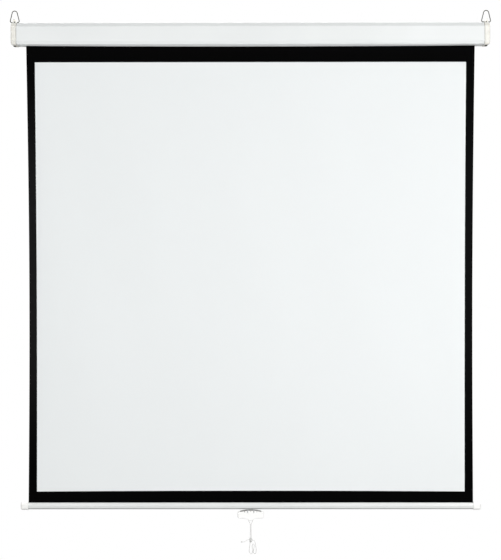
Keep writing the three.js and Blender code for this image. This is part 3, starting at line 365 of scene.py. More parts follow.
@dataclass(frozen=True)
class MouldedPlastic(Finish):
    """Injection-moulded plastic: a fine spark-eroded grain, flow marks, a little light inside and, where a
    seam is given, painted shade there.
    """

    roughness: float = 0.45
    grain: float = 0.03
    sink: float = 0.12
    streaked: float = 0.955
    soiled: float = 0.8
    glow: float = 0.0
    glow_colour: Colour = (1.0, 0.92, 0.75)
    glow_reach: float = 2.0
    # Painted shade: nearer the middle than this place along X, in millimetres, the colour is darkened, as in
    # the shaded gap where the cap meets the case.
    seam: float | None = None
    seam_shade_fade: Point2 = (-0.1, 0.2)
    seam_shade_share: float = 0.6
    flow: Pattern = Pattern(38.0, 3.0, (0.5, 1.0, 2.0), smooth=True)
    grime: Pattern = Pattern(210.0, 5.0, source=(0.62, 0.8), target=(0.0, 0.4))
    gloss: Pattern = Pattern(120.0, 4.0, target=(-0.07, 0.09))
    sinking: Pattern = Pattern(45.0, 1.0)
    sparks: Pattern = Pattern(1900.0)

    def recipe(self) -> Recipe:
        """Builds the plastic, with painted shade nearer the middle than its seam where one is given.

        Returns:
            The recipe.
        """
        recipe = Recipe(self.name, self.roughness)
        body = recipe.mixed(recipe.varied(self.flow), self.colour, self.shaded(self.streaked))
        recipe.paint(recipe.mixed(recipe.varied(self.grime), body, self.shaded(self.soiled)))
        recipe.roughened(self.gloss, self.roughness)
        sunk = recipe.bumped(recipe.noise(self.sinking), self.sink)
        recipe.drive("Normal", recipe.bumped(recipe.noise(self.sparks), self.grain, sunk))
        if self.glow:
            recipe.set("Subsurface Weight", self.glow)
            recipe.set("Subsurface Radius", self.glow_colour)
            recipe.set("Subsurface Scale", self.glow_reach * MM)
        # Painted shade in the shadow gap where the cap meets the case.
        if self.seam is not None:
            across, _, _ = recipe.split(recipe.place())
            span = about(self.seam, self.seam_shade_fade, MM)
            inside = recipe.spread(recipe.math("ABSOLUTE", across), span, FALLING)
            recipe.paint_shade(inside, self.seam_shade_share)
        return recipe


@dataclass(frozen=True)
class HingedPlastic(MouldedPlastic):
    """The handle's plastic, with painted shade inside the rebate and the slots that it turns in."""

    # The painted shade in the slots: half its length, its front and back, and how far it reaches under the
    # crown.
    half: float = 38.6
    depth: Point2 = (-24.4, -13.3)
    crown: float = -1683.5
    fall: float = 6.0 / 41.0**2
    reach: float = 8.0
    slot_shade_share: float = 0.26
    end_fade: Point2 = (-1.2, 0.4)
    floor_fade: Point2 = (-0.4, 0.4)
    front_fade: Point2 = (-0.3, 0.3)
    back_fade: Point2 = (-0.1, 0.2)

    def recipe(self) -> Recipe:
        """Builds the plastic and the painted shade in its slots.

        Returns:
            The recipe.
        """
        recipe = super().recipe()
        x, y, z = recipe.split(recipe.place(IN_MM))
        square = recipe.product(x, x)
        under_crown = recipe.math("ADD", z, recipe.product(square, self.fall))
        near, far = about(self.half, self.end_fade)
        share = recipe.spread(square, (near**2, far**2), FALLING)
        front, back = self.depth
        for value, source, target in (
            (under_crown, about(self.crown - self.reach, self.floor_fade), RISING),
            (y, about(front, self.front_fade), RISING),
            (y, about(back, self.back_fade), FALLING),
        ):
            share = recipe.product(share, recipe.spread(value, source, target))
        # Painted shade in the rebate and slots under the bar.
        recipe.paint_shade(share, self.slot_shade_share)
        return recipe


@dataclass(frozen=True)
class PlatedSteel(Finish):
    """Drawn or plated steel: cloudy plating, fine draw lines along X and dull spots."""

    roughness: float = 0.34
    metallic: float = 0.9
    lines: float = 0.02
    clouded: float = 0.78
    stain: Colour = (0.3, 0.27, 0.22)
    clouds: Pattern = Pattern(140.0, 4.0, source=(0.35, 0.68), smooth=True)
    spots: Pattern = Pattern(420.0, 5.0, source=(0.63, 0.75), target=(0.0, 0.6))
    gloss: Pattern = Pattern(300.0, 4.0, target=(-0.08, 0.16))
    drawing: Pattern = Pattern(900.0, 2.0, (0.04, 1.0, 1.0))

    def recipe(self) -> Recipe:
        """Builds the metal.

        Returns:
            The recipe.
        """
        recipe = Recipe(self.name, self.roughness, self.metallic)
        plate = recipe.mixed(recipe.varied(self.clouds), self.colour, self.shaded(self.clouded))
        recipe.paint(recipe.mixed(recipe.varied(self.spots), plate, self.stain))
        recipe.roughened(self.gloss, self.roughness)
        recipe.drive("Normal", recipe.bumped(recipe.noise(self.drawing), self.lines))
        return recipe


@dataclass(frozen=True)
class ProjectionCoat(Finish):
    """Coated screen fabric: a fine woven grain under a matt coat, with a soft mottle."""

    roughness: float = 0.9
    specular: float = 0.2
    weave: float = 0.05
    pitch: float = 1.1
    mottle: float = 0.985
    grained: float = 0.985
    mottling: Pattern = Pattern(2.2, 3.0, (1.0, 1.0, 0.5), smooth=True)
    grain: Pattern = Pattern(700.0, 3.0, source=(0.35, 0.75))
    gloss: Pattern = Pattern(160.0, 3.0, target=(-0.06, 0.04))
    wear: Pattern = Pattern(850.0, source=(0.2, 0.8))

    def recipe(self) -> Recipe:
        """Builds the coated fabric.

        Returns:
            The recipe.
        """
        recipe = Recipe(self.name, self.roughness)
        recipe.set("Specular IOR Level", self.specular)
        coat = recipe.mixed(recipe.varied(self.mottling), self.colour, self.shaded(self.mottle))
        recipe.paint(recipe.mixed(recipe.varied(self.grain), coat, self.shaded(self.mottle * self.grained)))
        recipe.roughened(self.gloss, self.roughness)
        recipe.drive("Normal", recipe.bumped(self.threads(recipe), self.weave))
        return recipe

    def threads(self, recipe: Recipe) -> Socket:
        """Draws the fabric's plain weave under its coat.

        Args:
            recipe: The recipe to add to.

        Returns:
            The height of the threads, from 0 to 1.
        """
        x, _, z = recipe.split(recipe.place())
        turns = math.tau / (self.pitch * MM)
        across, down = (recipe.math("SINE", recipe.product(way, turns)) for way in (x, z))
        crossing = recipe.spread(recipe.product(across, down), (-1.0, 1.0), RISING)
        return recipe.product(crossing, recipe.varied(self.wear))


@dataclass(frozen=True)
class BorderCoat(ProjectionCoat):
    """Black coat with a painted sheen, a painted reflection of the soft boxes, along the middle of the
    sheet's two sides.
    """

    # Painted sheen: the lighter colour that the strips along the sides are mixed towards.
    pale: Colour = (0.0098, 0.0098, 0.0102)
    strip: Point2 = (745.0, 763.0)
    right_share: float = 0.3
    upper_end: Point2 = (-620.0, -80.0)
    lower_end: Point2 = (-1560.0, -1020.0)
    patches: Pattern = Pattern(60.0, 4.0, target=(0.8, 1.0))

    def recipe(self) -> Recipe:
        """Builds the coat and its strips of painted sheen.

        Returns:
            The recipe.
        """
        recipe = super().recipe()
        x, _, z = recipe.split(recipe.place(IN_MM))
        inner, outer = self.strip
        left = recipe.spread(x, (-outer, -inner), FALLING)
        right = recipe.spread(x, (inner, outer), (0.0, self.right_share))
        upper = recipe.spread(z, self.upper_end, FALLING, smooth=True)
        lower = recipe.spread(z, self.lower_end, RISING, smooth=True)
        sides = recipe.product(recipe.math("ADD", left, right), recipe.product(upper, lower))
        share = recipe.product(sides, recipe.varied(self.patches))
        # Painted sheen along the sides.
        recipe.paint(recipe.mixed(share, recipe.painted(), self.pale))
        return recipe


@dataclass(frozen=True)
class BraidedCord(Finish):
    """Thin braided cord: strands that cross in two slanting sets, with painted shade in the grooves between
    them, lint and a soft sheen.
    """

    roughness: float = 0.85
    specular: float = 0.3
    sheen: float = 0.25
    sheen_roughness: float = 0.5
    strands: float = 6.0
    pitch: float = 2.4
    relief: float = 0.16
    # Painted shade: the share of the colour that stays in the grooves between strands.
    between: float = 0.72
    fluff: float = 0.05
    lint: Pattern = Pattern(2500.0, 3.0)
    gloss: Pattern = Pattern(900.0, target=(-0.1, 0.1))

    def recipe(self) -> Recipe:
        """Builds the braid, which reads the map that every cord mesh carries: turns and millimetres.

        Returns:
            The recipe.
        """
        recipe = Recipe(self.name, self.roughness)
        recipe.set("Specular IOR Level", self.specular)
        recipe.set("Sheen Weight", self.sheen)
        recipe.set("Sheen Roughness", self.sheen_roughness)
        x, y, _ = recipe.split(recipe.node("ShaderNodeTexCoord", {}).outputs["UV"])
        round_it = recipe.product(x, self.strands * math.tau)
        along = recipe.product(y, math.tau / self.pitch)
        slants = (recipe.math(way, round_it, along) for way in ("ADD", "SUBTRACT"))
        first, second = (recipe.math("SINE", slant) for slant in slants)
        crossing = recipe.spread(recipe.product(first, second), (-1.0, 1.0), RISING, smooth=True)
        # Painted shade: darker where the braid lies low, between the strands.
        recipe.paint(recipe.mixed(crossing, self.shaded(self.between), self.colour))
        lint = recipe.bumped(recipe.noise(self.lint), self.fluff)
        recipe.drive("Normal", recipe.bumped(crossing, self.relief, lint))
        recipe.roughened(self.gloss, self.roughness)
        return recipe


@dataclass(frozen=True)
class StudioFloor(Finish):
    """Pale seamless floor with a faint roller texture."""

    roughness: float = 0.8
    shade: float = 0.99
    relief: float = 0.1
    clouds: Pattern = Pattern(1.3, 3.0, smooth=True)
    rolling: Pattern = Pattern(240.0)

    def recipe(self) -> Recipe:
        """Builds the floor's paint.

        Returns:
            The recipe.
        """
        recipe = Recipe(self.name, self.roughness)
        recipe.paint(recipe.mixed(recipe.varied(self.clouds), self.colour, self.shaded(self.shade)))
        recipe.drive("Normal", recipe.bumped(recipe.noise(self.rolling), self.relief))
        return recipe


WHITE_COAT = PaintedSteel("white_powder_coat", Slot.WHITE_STEEL, (0.715, 0.735, 0.732))
BAR_COAT = PaintedSteel(
    "white_bar_coat",
    Slot.WHITE_STEEL,
    (0.66, 0.673, 0.664),
    roughness=0.32,
    ripple=0.05,
    # Painted shade along the bar's lower edge and underside.
    painted_shade_below=-1677.4,
)
# The caps carry painted shade in the shadow gap where they meet the case.
IVORY = MouldedPlastic("ivory_moulding", Slot.IVORY_PLASTIC, (0.777, 0.767, 0.716), glow=0.15, seam=819.9)
CAP_WHITE = MouldedPlastic("white_cap_moulding", Slot.WHITE_PLASTIC, (0.87, 0.87, 0.85), roughness=0.38)
HANDLE_WHITE = HingedPlastic("white_handle_moulding", Slot.WHITE_PLASTIC, (0.95, 0.95, 0.935), roughness=0.35)
BUSH_WHITE = MouldedPlastic("white_bush_moulding", Slot.WHITE_PLASTIC, (0.85, 0.85, 0.83), roughness=0.3)
NYLON = MouldedPlastic("grey_nylon_moulding", Slot.GREY_NYLON, (0.48, 0.49, 0.46), roughness=0.55, glow=0.1)
BAIL_WIRE = PlatedSteel(
    "dark_bail_wire", Slot.DARK_WIRE, (0.085, 0.085, 0.07), roughness=0.42, stain=(0.05, 0.04, 0.03)
)
ZINC = PlatedSteel("zinc_plate", Slot.ZINC_STEEL, (0.5, 0.52, 0.53))
SCREW_BLACK = PlatedSteel(
    "blackened_screw", Slot.DARK_SCREW, (0.04, 0.038, 0.034), roughness=0.45, metallic=0.7
)
MILL = PlatedSteel("mill_aluminium", Slot.BARE_ALUMINIUM, (0.72, 0.73, 0.75), stain=(0.5, 0.5, 0.5))
SPRING = PlatedSteel("oiled_spring_wire", Slot.SPRING_STEEL, (0.2, 0.2, 0.21), roughness=0.26)
VIEW_WHITE = ProjectionCoat("screen_white_coat", Slot.SCREEN_WHITE, (0.75, 0.773, 0.775))
BORDER_BLACK = BorderCoat(
    "screen_border_coat", Slot.SCREEN_BLACK, (0.001, 0.001, 0.0011), roughness=0.5, specular=0.01, mottle=0.8
)
BACKING_BLACK = ProjectionCoat(
    "screen_backing_coat", Slot.SCREEN_BLACK, (0.014, 0.014, 0.015), roughness=0.75, specular=0.3, mottle=0.8
)
BRAID = BraidedCord("white_braid", Slot.WHITE_CORD, (0.78, 0.78, 0.765))
FLOOR_PAINT = StudioFloor("floor_paint", Slot.WHITE_PLASTIC, (0.9, 0.9, 0.9))


@dataclass(frozen=True)
class Corner:
    """One corner of an outline, in millimetres, and the radius that rounds it."""

    a: float
    b: float
    radius: float = 0.0


def turned(corners: Sequence[Corner]) -> int:
    """Tells which way round an outline runs.

    Args:
        corners: The outline.

    Returns:
        1 where it runs anticlockwise, and -1 otherwise.
    """
    pairs = zip(corners, [*corners[1:], corners[0]])
    area = sum(p.a * q.b - q.a * p.b for p, q in pairs)
    return 1 if area > 0 else -1


def inset(corners: Sequence[Corner], distance: float, least: float = 0.3) -> list[Corner]:
    """Moves every side of a convex outline inwards, or outwards where the distance is negative.

    Args:
        corners: The outline.
        distance: How far each side moves, in millimetres.
        least: The smallest radius that a corner keeps.

    Returns:
        The moved outline.
    """
    turn, count = turned(corners), len(corners)

    def inward(start: Corner, end: Corner) -> Vector:
        """Gives the unit vector into the outline, square to one side."""
        side = Vector((end.a - start.a, end.b - start.b)).normalized()
        return Vector((-side.y, side.x)) * turn

    moved = []
    for i, corner in enumerate(corners):
        first = inward(corners[i - 1], corner)
        second = inward(corner, corners[(i + 1) % count])
        shift = (first + second) * (distance / (1.0 + first.dot(second)))
        radius = max(corner.radius - distance, least)
        moved.append(Corner(corner.a + shift.x, corner.b + shift.y, radius))
    return moved


def arc_at(before: Point2, corner: Corner, after: Point2, steps: int) -> list[Point2]:
    """Rounds one corner.

    Args:
        before: The corner before it.
        corner: The corner.
        after: The corner after it.
        steps: How many straight steps the arc has.

    Returns:
        The arc's points, or the corner itself where its radius is 0.
    """
    middle = Vector((corner.a, corner.b))
    if corner.radius <= 0:
        return [(corner.a, corner.b)]
    back = (Vector(before) - middle).normalized()
    ahead = (Vector(after) - middle).normalized()
    half = back.angle(ahead) / 2
    centre = middle + (back + ahead).normalized() * (corner.radius / math.sin(half))
    start = middle + back * (corner.radius / math.tan(half)) - centre
    end = middle + ahead * (corner.radius / math.tan(half)) - centre
    first = math.atan2(start.y, start.x)
    sweep = math.atan2(start.x * end.y - start.y * end.x, start.dot(end))
    angles = [first + sweep * k / steps for k in range(steps + 1)]
    return [(centre.x + corner.radius * math.cos(t), centre.y + corner.radius * math.sin(t)) for t in angles]


def rounded(corners: Sequence[Corner], steps: int = 8, closed: bool = True) -> list[Point2]:
    """Rounds the corners of an outline or an open line.

    Args:
        corners: The corners in order.
        steps: How many straight steps each arc has.
        closed: Whether the last corner joins the first.

    Returns:
        The points of the rounded line.
    """
    points: list[Point2] = []
    count = len(corners)
    for i, corner in enumerate(corners):
        if not closed and i in (0, count - 1):
            points.append((corner.a, corner.b))
            continue
        before, after = corners[i - 1], corners[(i + 1) % count]
        points += arc_at((before.a, before.b), corner, (after.a, after.b), steps)
    return points


def drawn_in(outline: Outline, distance: float) -> list[Point2]:
    """Moves every point of a dense clockwise outline inwards, along its own normal.

    Args:
        outline: The outline.
        distance: How far, in millimetres.

    Returns:
        The smaller outline.
    """
    moved = []
    for i, point in enumerate(outline):
        before, here = Vector(outline[i - 1]), Vector(point)
        after = Vector(outline[(i + 1) % len(outline)])
        way = ((here - before).normalized() + (after - here).normalized()).normalized()
        moved.append((here.x + way.y * distance, here.y - way.x * distance))
    return moved


def thickened(line: Outline, wall: float) -> list[Point2]:
    """Turns an open line into the outline of a strip of even thickness.

    Args:
        line: The strip's middle line.
        wall: Its thickness in millimetres.

    Returns:
        The closed outline.
    """
    sides: tuple[list[Point2], list[Point2]] = ([], [])
    for i, point in enumerate(line):
        before, after = Vector(line[max(i - 1, 0)]), Vector(line[min(i + 1, len(line) - 1)])
        here = Vector(point)
        into, out = (here - before), (after - here)
        into = into.normalized() if into.length > 0 else out.normalized()
        out = out.normalized() if out.length > 0 else into
        normal = Vector((-(into + out).y, (into + out).x)).normalized()
        reach = wall / 2 / max(normal.dot(Vector((-into.y, into.x))), 0.3)
        sides[0].append(tuple(here + normal * reach))
        sides[1].append(tuple(here - normal * reach))
    return sides[0] + sides[1][::-1]


def circle(diameter: float, sides: int, a: float = 0.0, b: float = 0.0) -> list[Point2]:
    """Gives the points of a circle.

    Args:
        diameter: Its diameter in millimetres.
        sides: How many sides it is drawn with.
        a: Its centre's first coordinate.
        b: Its centre's second coordinate.

    Returns:
        The points.
    """
    angles = [math.tau * (k + 0.5) / sides for k in range(sides)]
    return [(a + diameter / 2 * math.cos(t), b + diameter / 2 * math.sin(t)) for t in angles]


def rectangle(a0: float, a1: float, b0: float, b1: float) -> list[Point2]:
    """Gives the corners of a rectangle between two values on each axis."""
    return [(a0, b0), (a1, b0), (a1, b1), (a0, b1)]


def smooth_route(places: Sequence[Sequence[float]], steps: int = 8) -> list[Vector]:
    """Draws a centripetal Catmull-Rom curve through places, the same curve as in the solid model.

    Args:
        places: The places that it passes through, in millimetres.
        steps: How many points each stretch gets.

    Returns:
        Points along the curve.
    """
    points = [Vector(place) for place in places]
    points = [2 * points[0] - points[1], *points, 2 * points[-1] - points[-2]]
    made: list[Vector] = []
    for i in range(1, len(points) - 2):
        p0, p1, p2, p3 = points[i - 1 : i + 3]
        d0, d1, d2 = (max((q - p).length ** 0.5, 1e-4) for p, q in ((p0, p1), (p1, p2), (p2, p3)))
        start = ((p1 - p0) / d0 - (p2 - p0) / (d0 + d1) + (p2 - p1) / d1) * d1
        end = ((p2 - p1) / d1 - (p3 - p1) / (d1 + d2) + (p3 - p2) / d2) * d1
        for k in range(steps):
            t = k / steps
            square, cube = t * t, t * t * t
            made.append(
                p1 * (2 * cube - 3 * square + 1)
                + start * (cube - 2 * square + t)
                + p2 * (3 * square - 2 * cube)
                + end * (cube - square)
            )
    return [*made, points[-2]]


def evenly(start: float, end: float, steps: int) -> list[float]:
    """Gives the places from one value to another in even steps."""
    return [start + (end - start) * k / steps for k in range(steps + 1)]


class Blank:
    """A mesh being built, in millimetres, with the small sizes that its ways of building share."""

    edge_steps: int = 10
    groove_size: Point2 = (0.6, 0.5)
    step_width: float = 0.02
    step_ease: float = 0.3
    least_radius: float = 0.01

    def __init__(self) -> None:
        """Starts an empty mesh with a map for cords."""
        self.mesh = bmesh.new()
        self.map = self.mesh.loops.layers.uv.new("UVMap")

    def loft(self, rings: Sequence[Sequence[Vector]], runs: Sequence[float] | None = None) -> "Blank":
        """Joins rings of points, each to the next, as one skin that is closed at both ends.

        Args:
            rings: The rings, each with the same number of points.
            runs: How far along each ring lies, where the skin gets its map.

        Returns:
            This blank.
        """
        made = [[self.mesh.verts.new(point) for point in ring] for ring in rings]
        count = len(made[0])
        for i, (ring, following) in enumerate(zip(made, made[1:])):
            for k in range(count):
                after = (k + 1) % count
                face = self.mesh.faces.new((ring[k], ring[after], following[after], following[k]))
                if runs is None:
                    continue
                start, end = k / count, (k + 1) / count
                spots = ((start, runs[i]), (end, runs[i]), (end, runs[i + 1]), (start, runs[i + 1]))
                for loop, spot in zip(face.loops, spots):
                    loop[self.map].uv = spot
        self.mesh.faces.new(made[0][::-1])
        self.mesh.faces.new(made[-1])
        return self

    def along_x(self, outline: Outline, x0: float, x1: float) -> "Blank":
        """Extrudes an outline of (y, z) points from one x to another."""
        return self.loft([[Vector((x, a, b)) for a, b in outline] for x in (x0, x1)])

    def along_y(self, outline: Outline, y0: float, y1: float) -> "Blank":
        """Extrudes an outline of (x, z) points from one y to another."""
        return self.loft([[Vector((a, y, b)) for a, b in outline] for y in (y1, y0)])

    def along_z(self, outline: Outline, z0: float, z1: float) -> "Blank":
        """Extrudes an outline of (x, y) points from one z to another."""
        return self.loft([[Vector((a, b, z)) for a, b in outline] for z in (z0, z1)])

    def block(self, x: Point2, y: Point2, z: Point2) -> "Blank":
        """Adds a box between two values on each axis."""
        return self.along_z(rectangle(x[0], x[1], y[0], y[1]), z[0], z[1])

    def domed(
        self,
        corners: Sequence[Corner],
        x: Point2,
        edge: float,
        side: Side,
        ease: float = 0.6,
        groove: float | None = None,
        shadow_gap: Point2 | None = None,
    ) -> "Blank":
        """Adds a body on an outline whose outer end is rounded and whose inner edge is eased.

        Args:
            corners: The outline, as (y, z) corners.
            x: Where it starts and ends, counted outwards from the middle of the screen.
            edge: The radius of its outer edge.
            side: The end of the screen that it is on.
            ease: How far its inner edge is eased.
            groove: Where a fine groove runs round it, if there is one.
            shadow_gap: Width and depth of a step along its inner edge, in place of the eased edge.

        Returns:
            This blank.
        """
        start, end = x
        stations = [(start, ease), (start + ease, 0.0)]
        if shadow_gap is not None:
            wide, deep = shadow_gap
            step, ease = start + wide, self.step_ease
            stations = [(start, deep), (step, deep), (step + self.step_width, ease), (step + ease, 0.0)]
        if groove is not None:
            half, deep = self.groove_size
            stations += [(groove - half, 0.0), (groove, deep), (groove + half, 0.0)]
        for k in range(self.edge_steps + 1):
            angle = math.pi / 2 * k / self.edge_steps
            stations.append((end - edge * (1 - math.sin(angle)), edge * (1 - math.cos(angle))))
        rings = []
        for place, drawn in stations:
            outline = rounded(inset(corners, drawn), 8)
            rings.append([Vector((side.value * place, a, b)) for a, b in outline])
        return self.loft(rings)

    def tube(self, path: Sequence[Vector], radius: float, sides: int) -> "Blank":
        """Adds a round bar along a path, with its map in turns round and millimetres along.

        Args:
            path: Points along its middle.
            radius: Its radius.
            sides: How many sides it is drawn with.

        Returns:
            This blank.
        """
        last = len(path) - 1
        ways = [(path[min(i + 1, last)] - path[max(i - 1, 0)]).normalized() for i in range(len(path))]
        angles = [math.tau * k / sides for k in range(sides)]
        normal = ways[0].orthogonal().normalized()
        rings, runs = [], [0.0]
        for i, (point, way) in enumerate(zip(path, ways)):
            normal = (normal - way * normal.dot(way)).normalized()
            other = way.cross(normal)
            rings.append([point + (normal * math.cos(t) + other * math.sin(t)) * radius for t in angles])
            if i:
                runs.append(runs[-1] + (point - path[i - 1]).length)
        return self.loft(rings, runs)

    def spun(self, profile: Outline, centre: Vector, axis: Vector, sides: int = 24) -> "Blank":
        """Adds a body of revolution.

        Args:
            profile: Points as (radius, distance along the axis); a radius of 0 closes an end.
            centre: Where the distances start.
            axis: The way that they are counted.
            sides: How many sides it is drawn with.

        Returns:
            This blank.
        """
        along = axis.normalized()
        first = along.orthogonal().normalized()
        second = along.cross(first)
        angles = [math.tau * k / sides for k in range(sides)]
        ways = [first * math.cos(t) + second * math.sin(t) for t in angles]
        rings: list[list[Vector]] = []
        for radius, distance in profile:
            middle = centre + along * distance
            rings.append([middle + way * max(radius, self.least_radius) for way in ways])
        return self.loft(rings)

    def piece(self, name: str) -> Piece:
        """Makes the object, in metres, with its faces pointing outwards.

        Args:
            name: The object's name.

        Returns:
            The object.
        """
        bmesh.ops.recalc_face_normals(self.mesh, faces=self.mesh.faces)
        bmesh.ops.scale(self.mesh, vec=(MM, MM, MM), verts=self.mesh.verts)
        data = bpy.data.meshes.new(name)
        self.mesh.to_mesh(data)
        self.mesh.free()
        made = bpy.data.objects.new(name, data)
        bpy.context.scene.collection.objects.link(made)
        return made


def settled(piece: Piece) -> Piece:
    """Turns a piece's modifiers into its mesh.

    Args:
        piece: The piece.

    Returns:
        The same piece, with no modifiers left.
    """
    graph = bpy.context.evaluated_depsgraph_get()
    made = bpy.data.meshes.new_from_object(piece.evaluated_get(graph), depsgraph=graph)
    piece.modifiers.clear()
    piece.data = made
    return piece


def carved(piece: Piece, tools: Iterable[Blank], way: str = "DIFFERENCE") -> Piece:
    """Cuts blanks away from a piece, joins them to it or keeps what they share.

    Args:
        piece: The piece.
        tools: The blanks.
        way: Blender's name for the operation.

    Returns:
        The carved piece.
    """
    for tool in tools:
        cutter = tool.piece("cutter")
        change = piece.modifiers.new("carve", "BOOLEAN")
        change.operation = way
        change.solver = "EXACT"
        change.object = cutter
        settled(piece)
        bpy.data.objects.remove(cutter)
    return piece


def softened(piece: Piece, width: float, angle: float) -> Piece:
    """Rounds a piece's sharp edges in two steps.

    Args:
        piece: The piece.
        width: How far the rounding reaches, in millimetres.
        angle: The least angle, in degrees, that counts as sharp.

    Returns:
        The softened piece.
    """
    change = piece.modifiers.new("soften", "BEVEL")
    change.width = width * MM
    change.segments = 2
    change.limit_method = "ANGLE"
    change.angle_limit = math.radians(angle)
    return settled(piece)


def smoothed(piece: Piece, angle: float) -> Piece:
    """Shades a piece smoothly, with its large flats kept flat.

    Args:
        piece: The piece.
        angle: Edges sharper than this, in degrees, stay sharp.

    Returns:
        The shaded piece.
    """
    piece.data.polygons.foreach_set("use_smooth", [True] * len(piece.data.polygons))
    piece.data.set_sharp_from_angle(angle=math.radians(angle))
    change = piece.modifiers.new("flats", "WEIGHTED_NORMAL")
    change.keep_sharp = True
    change.weight = 100
    return settled(piece)


@dataclass(frozen=True)
class Layout:
    """Sizes that the sub-assemblies share, in millimetres, and the places that follow from them."""

    view_width: float = 1524.0
    view_height: float = 1524.0
    border_side: float = 30.0
    border_bottom: float = 39.0
    drop_seen: float = 57.0
    fabric: float = 0.4
    fit: float = 0.3
    case_past_sheet: float = 26.0
    case_height: float = 76.0
    case_depth: float = 66.0
    case_wall: float = 1.0
    fold_round: float = 1.5
    lip: Point2 = (4.0, 11.0)
    bevel: float = 14.0
    bevel_round: float = 5.0
    cap_length: float = 20.0
    cap_proud: float = 1.2
    roller_from_wall: float = 36.0
    tube: float = 32.0
    turns_left: int = 3
    bar_height: float = 24.0
    bar_depth: float = 16.0
    bar_wall: float = 1.2
    bar_round: float = 6.5
    ear: float = 3.0
    ear_spacing: float = 22.0
    hole_spacing: float = 14.0
    bail_wire: float = 3.0
    handle_gap: float = 1.5
    handle_depth: float = 14.0
    lug_from_case: float = 11.0
    bore_height: float = 3.5

    @property
    def sheet_half(self) -> float:
        """Half the sheet's width."""
        return self.view_width / 2 + self.border_side

    @property
    def case_end(self) -> float:
        """Where the case ends."""
        return self.sheet_half + self.case_past_sheet

    @property
    def cap_end(self) -> float:
        """Where the end caps end."""
        return self.case_end + self.cap_length

    @property
    def case_top(self) -> float:
        """Height of the case's top over the roller's axis."""
        return self.case_height / 2

    @property
    def cap_top(self) -> float:
        """Height of the end caps' top."""
        return self.case_top + self.cap_proud

    @property
    def turns_radius(self) -> float:
        """Outside radius of the fabric left on the roller."""
        return self.tube / 2 + self.fit + self.turns_left * self.fabric

    @property
    def sheet_y(self) -> float:
        """Where the sheet hangs, in front of the wall."""
        return -self.roller_from_wall + self.turns_radius + self.fit + self.fabric / 2

    @property
    def view_top(self) -> float:
        """Height of the white area's upper edge."""
        return -self.case_top - self.drop_seen

    @property
    def view_foot(self) -> float:
        """Height of the white area's lower edge."""
        return self.view_top - self.view_height

    @property
    def bar_top(self) -> float:
        """Height of the bottom bar's top."""
        return self.view_foot - self.border_bottom

    @property
    def bar_foot(self) -> float:
        """Height of the bottom bar's underside."""
        return self.bar_top - self.bar_height

    @property
    def bar_half(self) -> float:
        """Half the bottom bar's length."""
        return self.sheet_half + self.fit

    @property
    def pin_z(self) -> float:
        """Height of the pin that the handle hangs on."""
        return self.bar_foot - self.handle_gap - self.handle_depth / 2

    @property
    def lug(self) -> Point3:
        """Middle of the right lug's bore."""
        return (self.case_end + self.lug_from_case, -self.case_depth / 2, self.cap_top + self.bore_height)

    def case_corners(self) -> list[Corner]:
        """Gives the case's outer corners, from the bottom front edge round to the bottom back.

        Returns:
            The corners as (y, z).
        """
        depth, top, fold = self.case_depth, self.case_top, self.fold_round
        lip_in, lip_up = self.lip
        return [
            Corner(-depth + lip_in, -top, fold),
            Corner(-depth, -top + lip_up, fold),
            Corner(-depth, top - self.bevel, self.bevel_round),
            Corner(-depth + self.bevel, top, self.bevel_round),
            Corner(0.0, top, fold),
            Corner(0.0, -top, fold),
        ]

    def bar_corners(self) -> list[Corner]:
        """Gives the bottom bar's outer corners as (y, z)."""
        front, back = self.sheet_y - self.bar_depth / 2, self.sheet_y + self.bar_depth / 2
        spots = [(front, self.bar_foot), (front, self.bar_top), (back, self.bar_top), (back, self.bar_foot)]
        return [Corner(a, b, self.bar_round) for a, b in spots]


LAYOUT = Layout()


@dataclass
class Assembly:
    """A sub-assembly: it builds its pieces, dresses them and lets them ride on their bodies."""

    pieces: list[Piece] = field(default_factory=list, init=False)

    def build(self) -> None:
        """Builds the sub-assembly; each kind has its own way."""
        raise NotImplementedError

    def dress(self, piece: Piece, finish: Finish, body: Body, nodes: Iterable[str] = ()) -> Piece:
        """Gives a piece its finish and its body, and lets it stand for nodes of the solid model.

        Args:
            piece: The piece.
            finish: Its finish.
            body: The body that it rides on.
            nodes: The nodes that it stands for.

        Returns:
            The same piece.
        """
        piece.data.materials.clear()
        piece.data.materials.append(finish.material())
        return self.mount(piece, body, nodes)

    def mount(self, piece: Piece, body: Body, nodes: Iterable[str] = ()) -> Piece:
        """Lets a piece ride on a body and stand for nodes, and keeps it in the list.

        Args:
            piece: The piece.
            body: The body that it rides on.
            nodes: The nodes that it stands for.

        Returns:
            The same piece.
        """
        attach(piece, body.value)
        stood_for = list(nodes)
        if stood_for:
            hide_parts(*stood_for)
        self.pieces.append(piece)
        return piece

    def refinish(self, finish: Finish, *nodes: str) -> None:
        """Gives nodes of the solid model a finish, and keeps their shape.

        Args:
            finish: The finish.
            nodes: The nodes' names.
        """
        for name in nodes:
            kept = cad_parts[name]
            for place in range(len(kept.material_slots)):
                kept.material_slots[place].material = finish.material()
            self.pieces.append(kept)

    def report(self) -> None:
        """Logs every piece with its number of faces."""
        for piece in self.pieces:
            log.info("%s: %s, %d faces", type(self).__name__, piece.name, len(piece.data.polygons))


@dataclass(frozen=True)
class SoftBox:
    """One soft box: where it stands and points, in metres, its size, its power and how wide it shines."""

    name: str
    place: Point3
    target: Point3
    size: Point2
    watts: float
    spread: float = 180.0


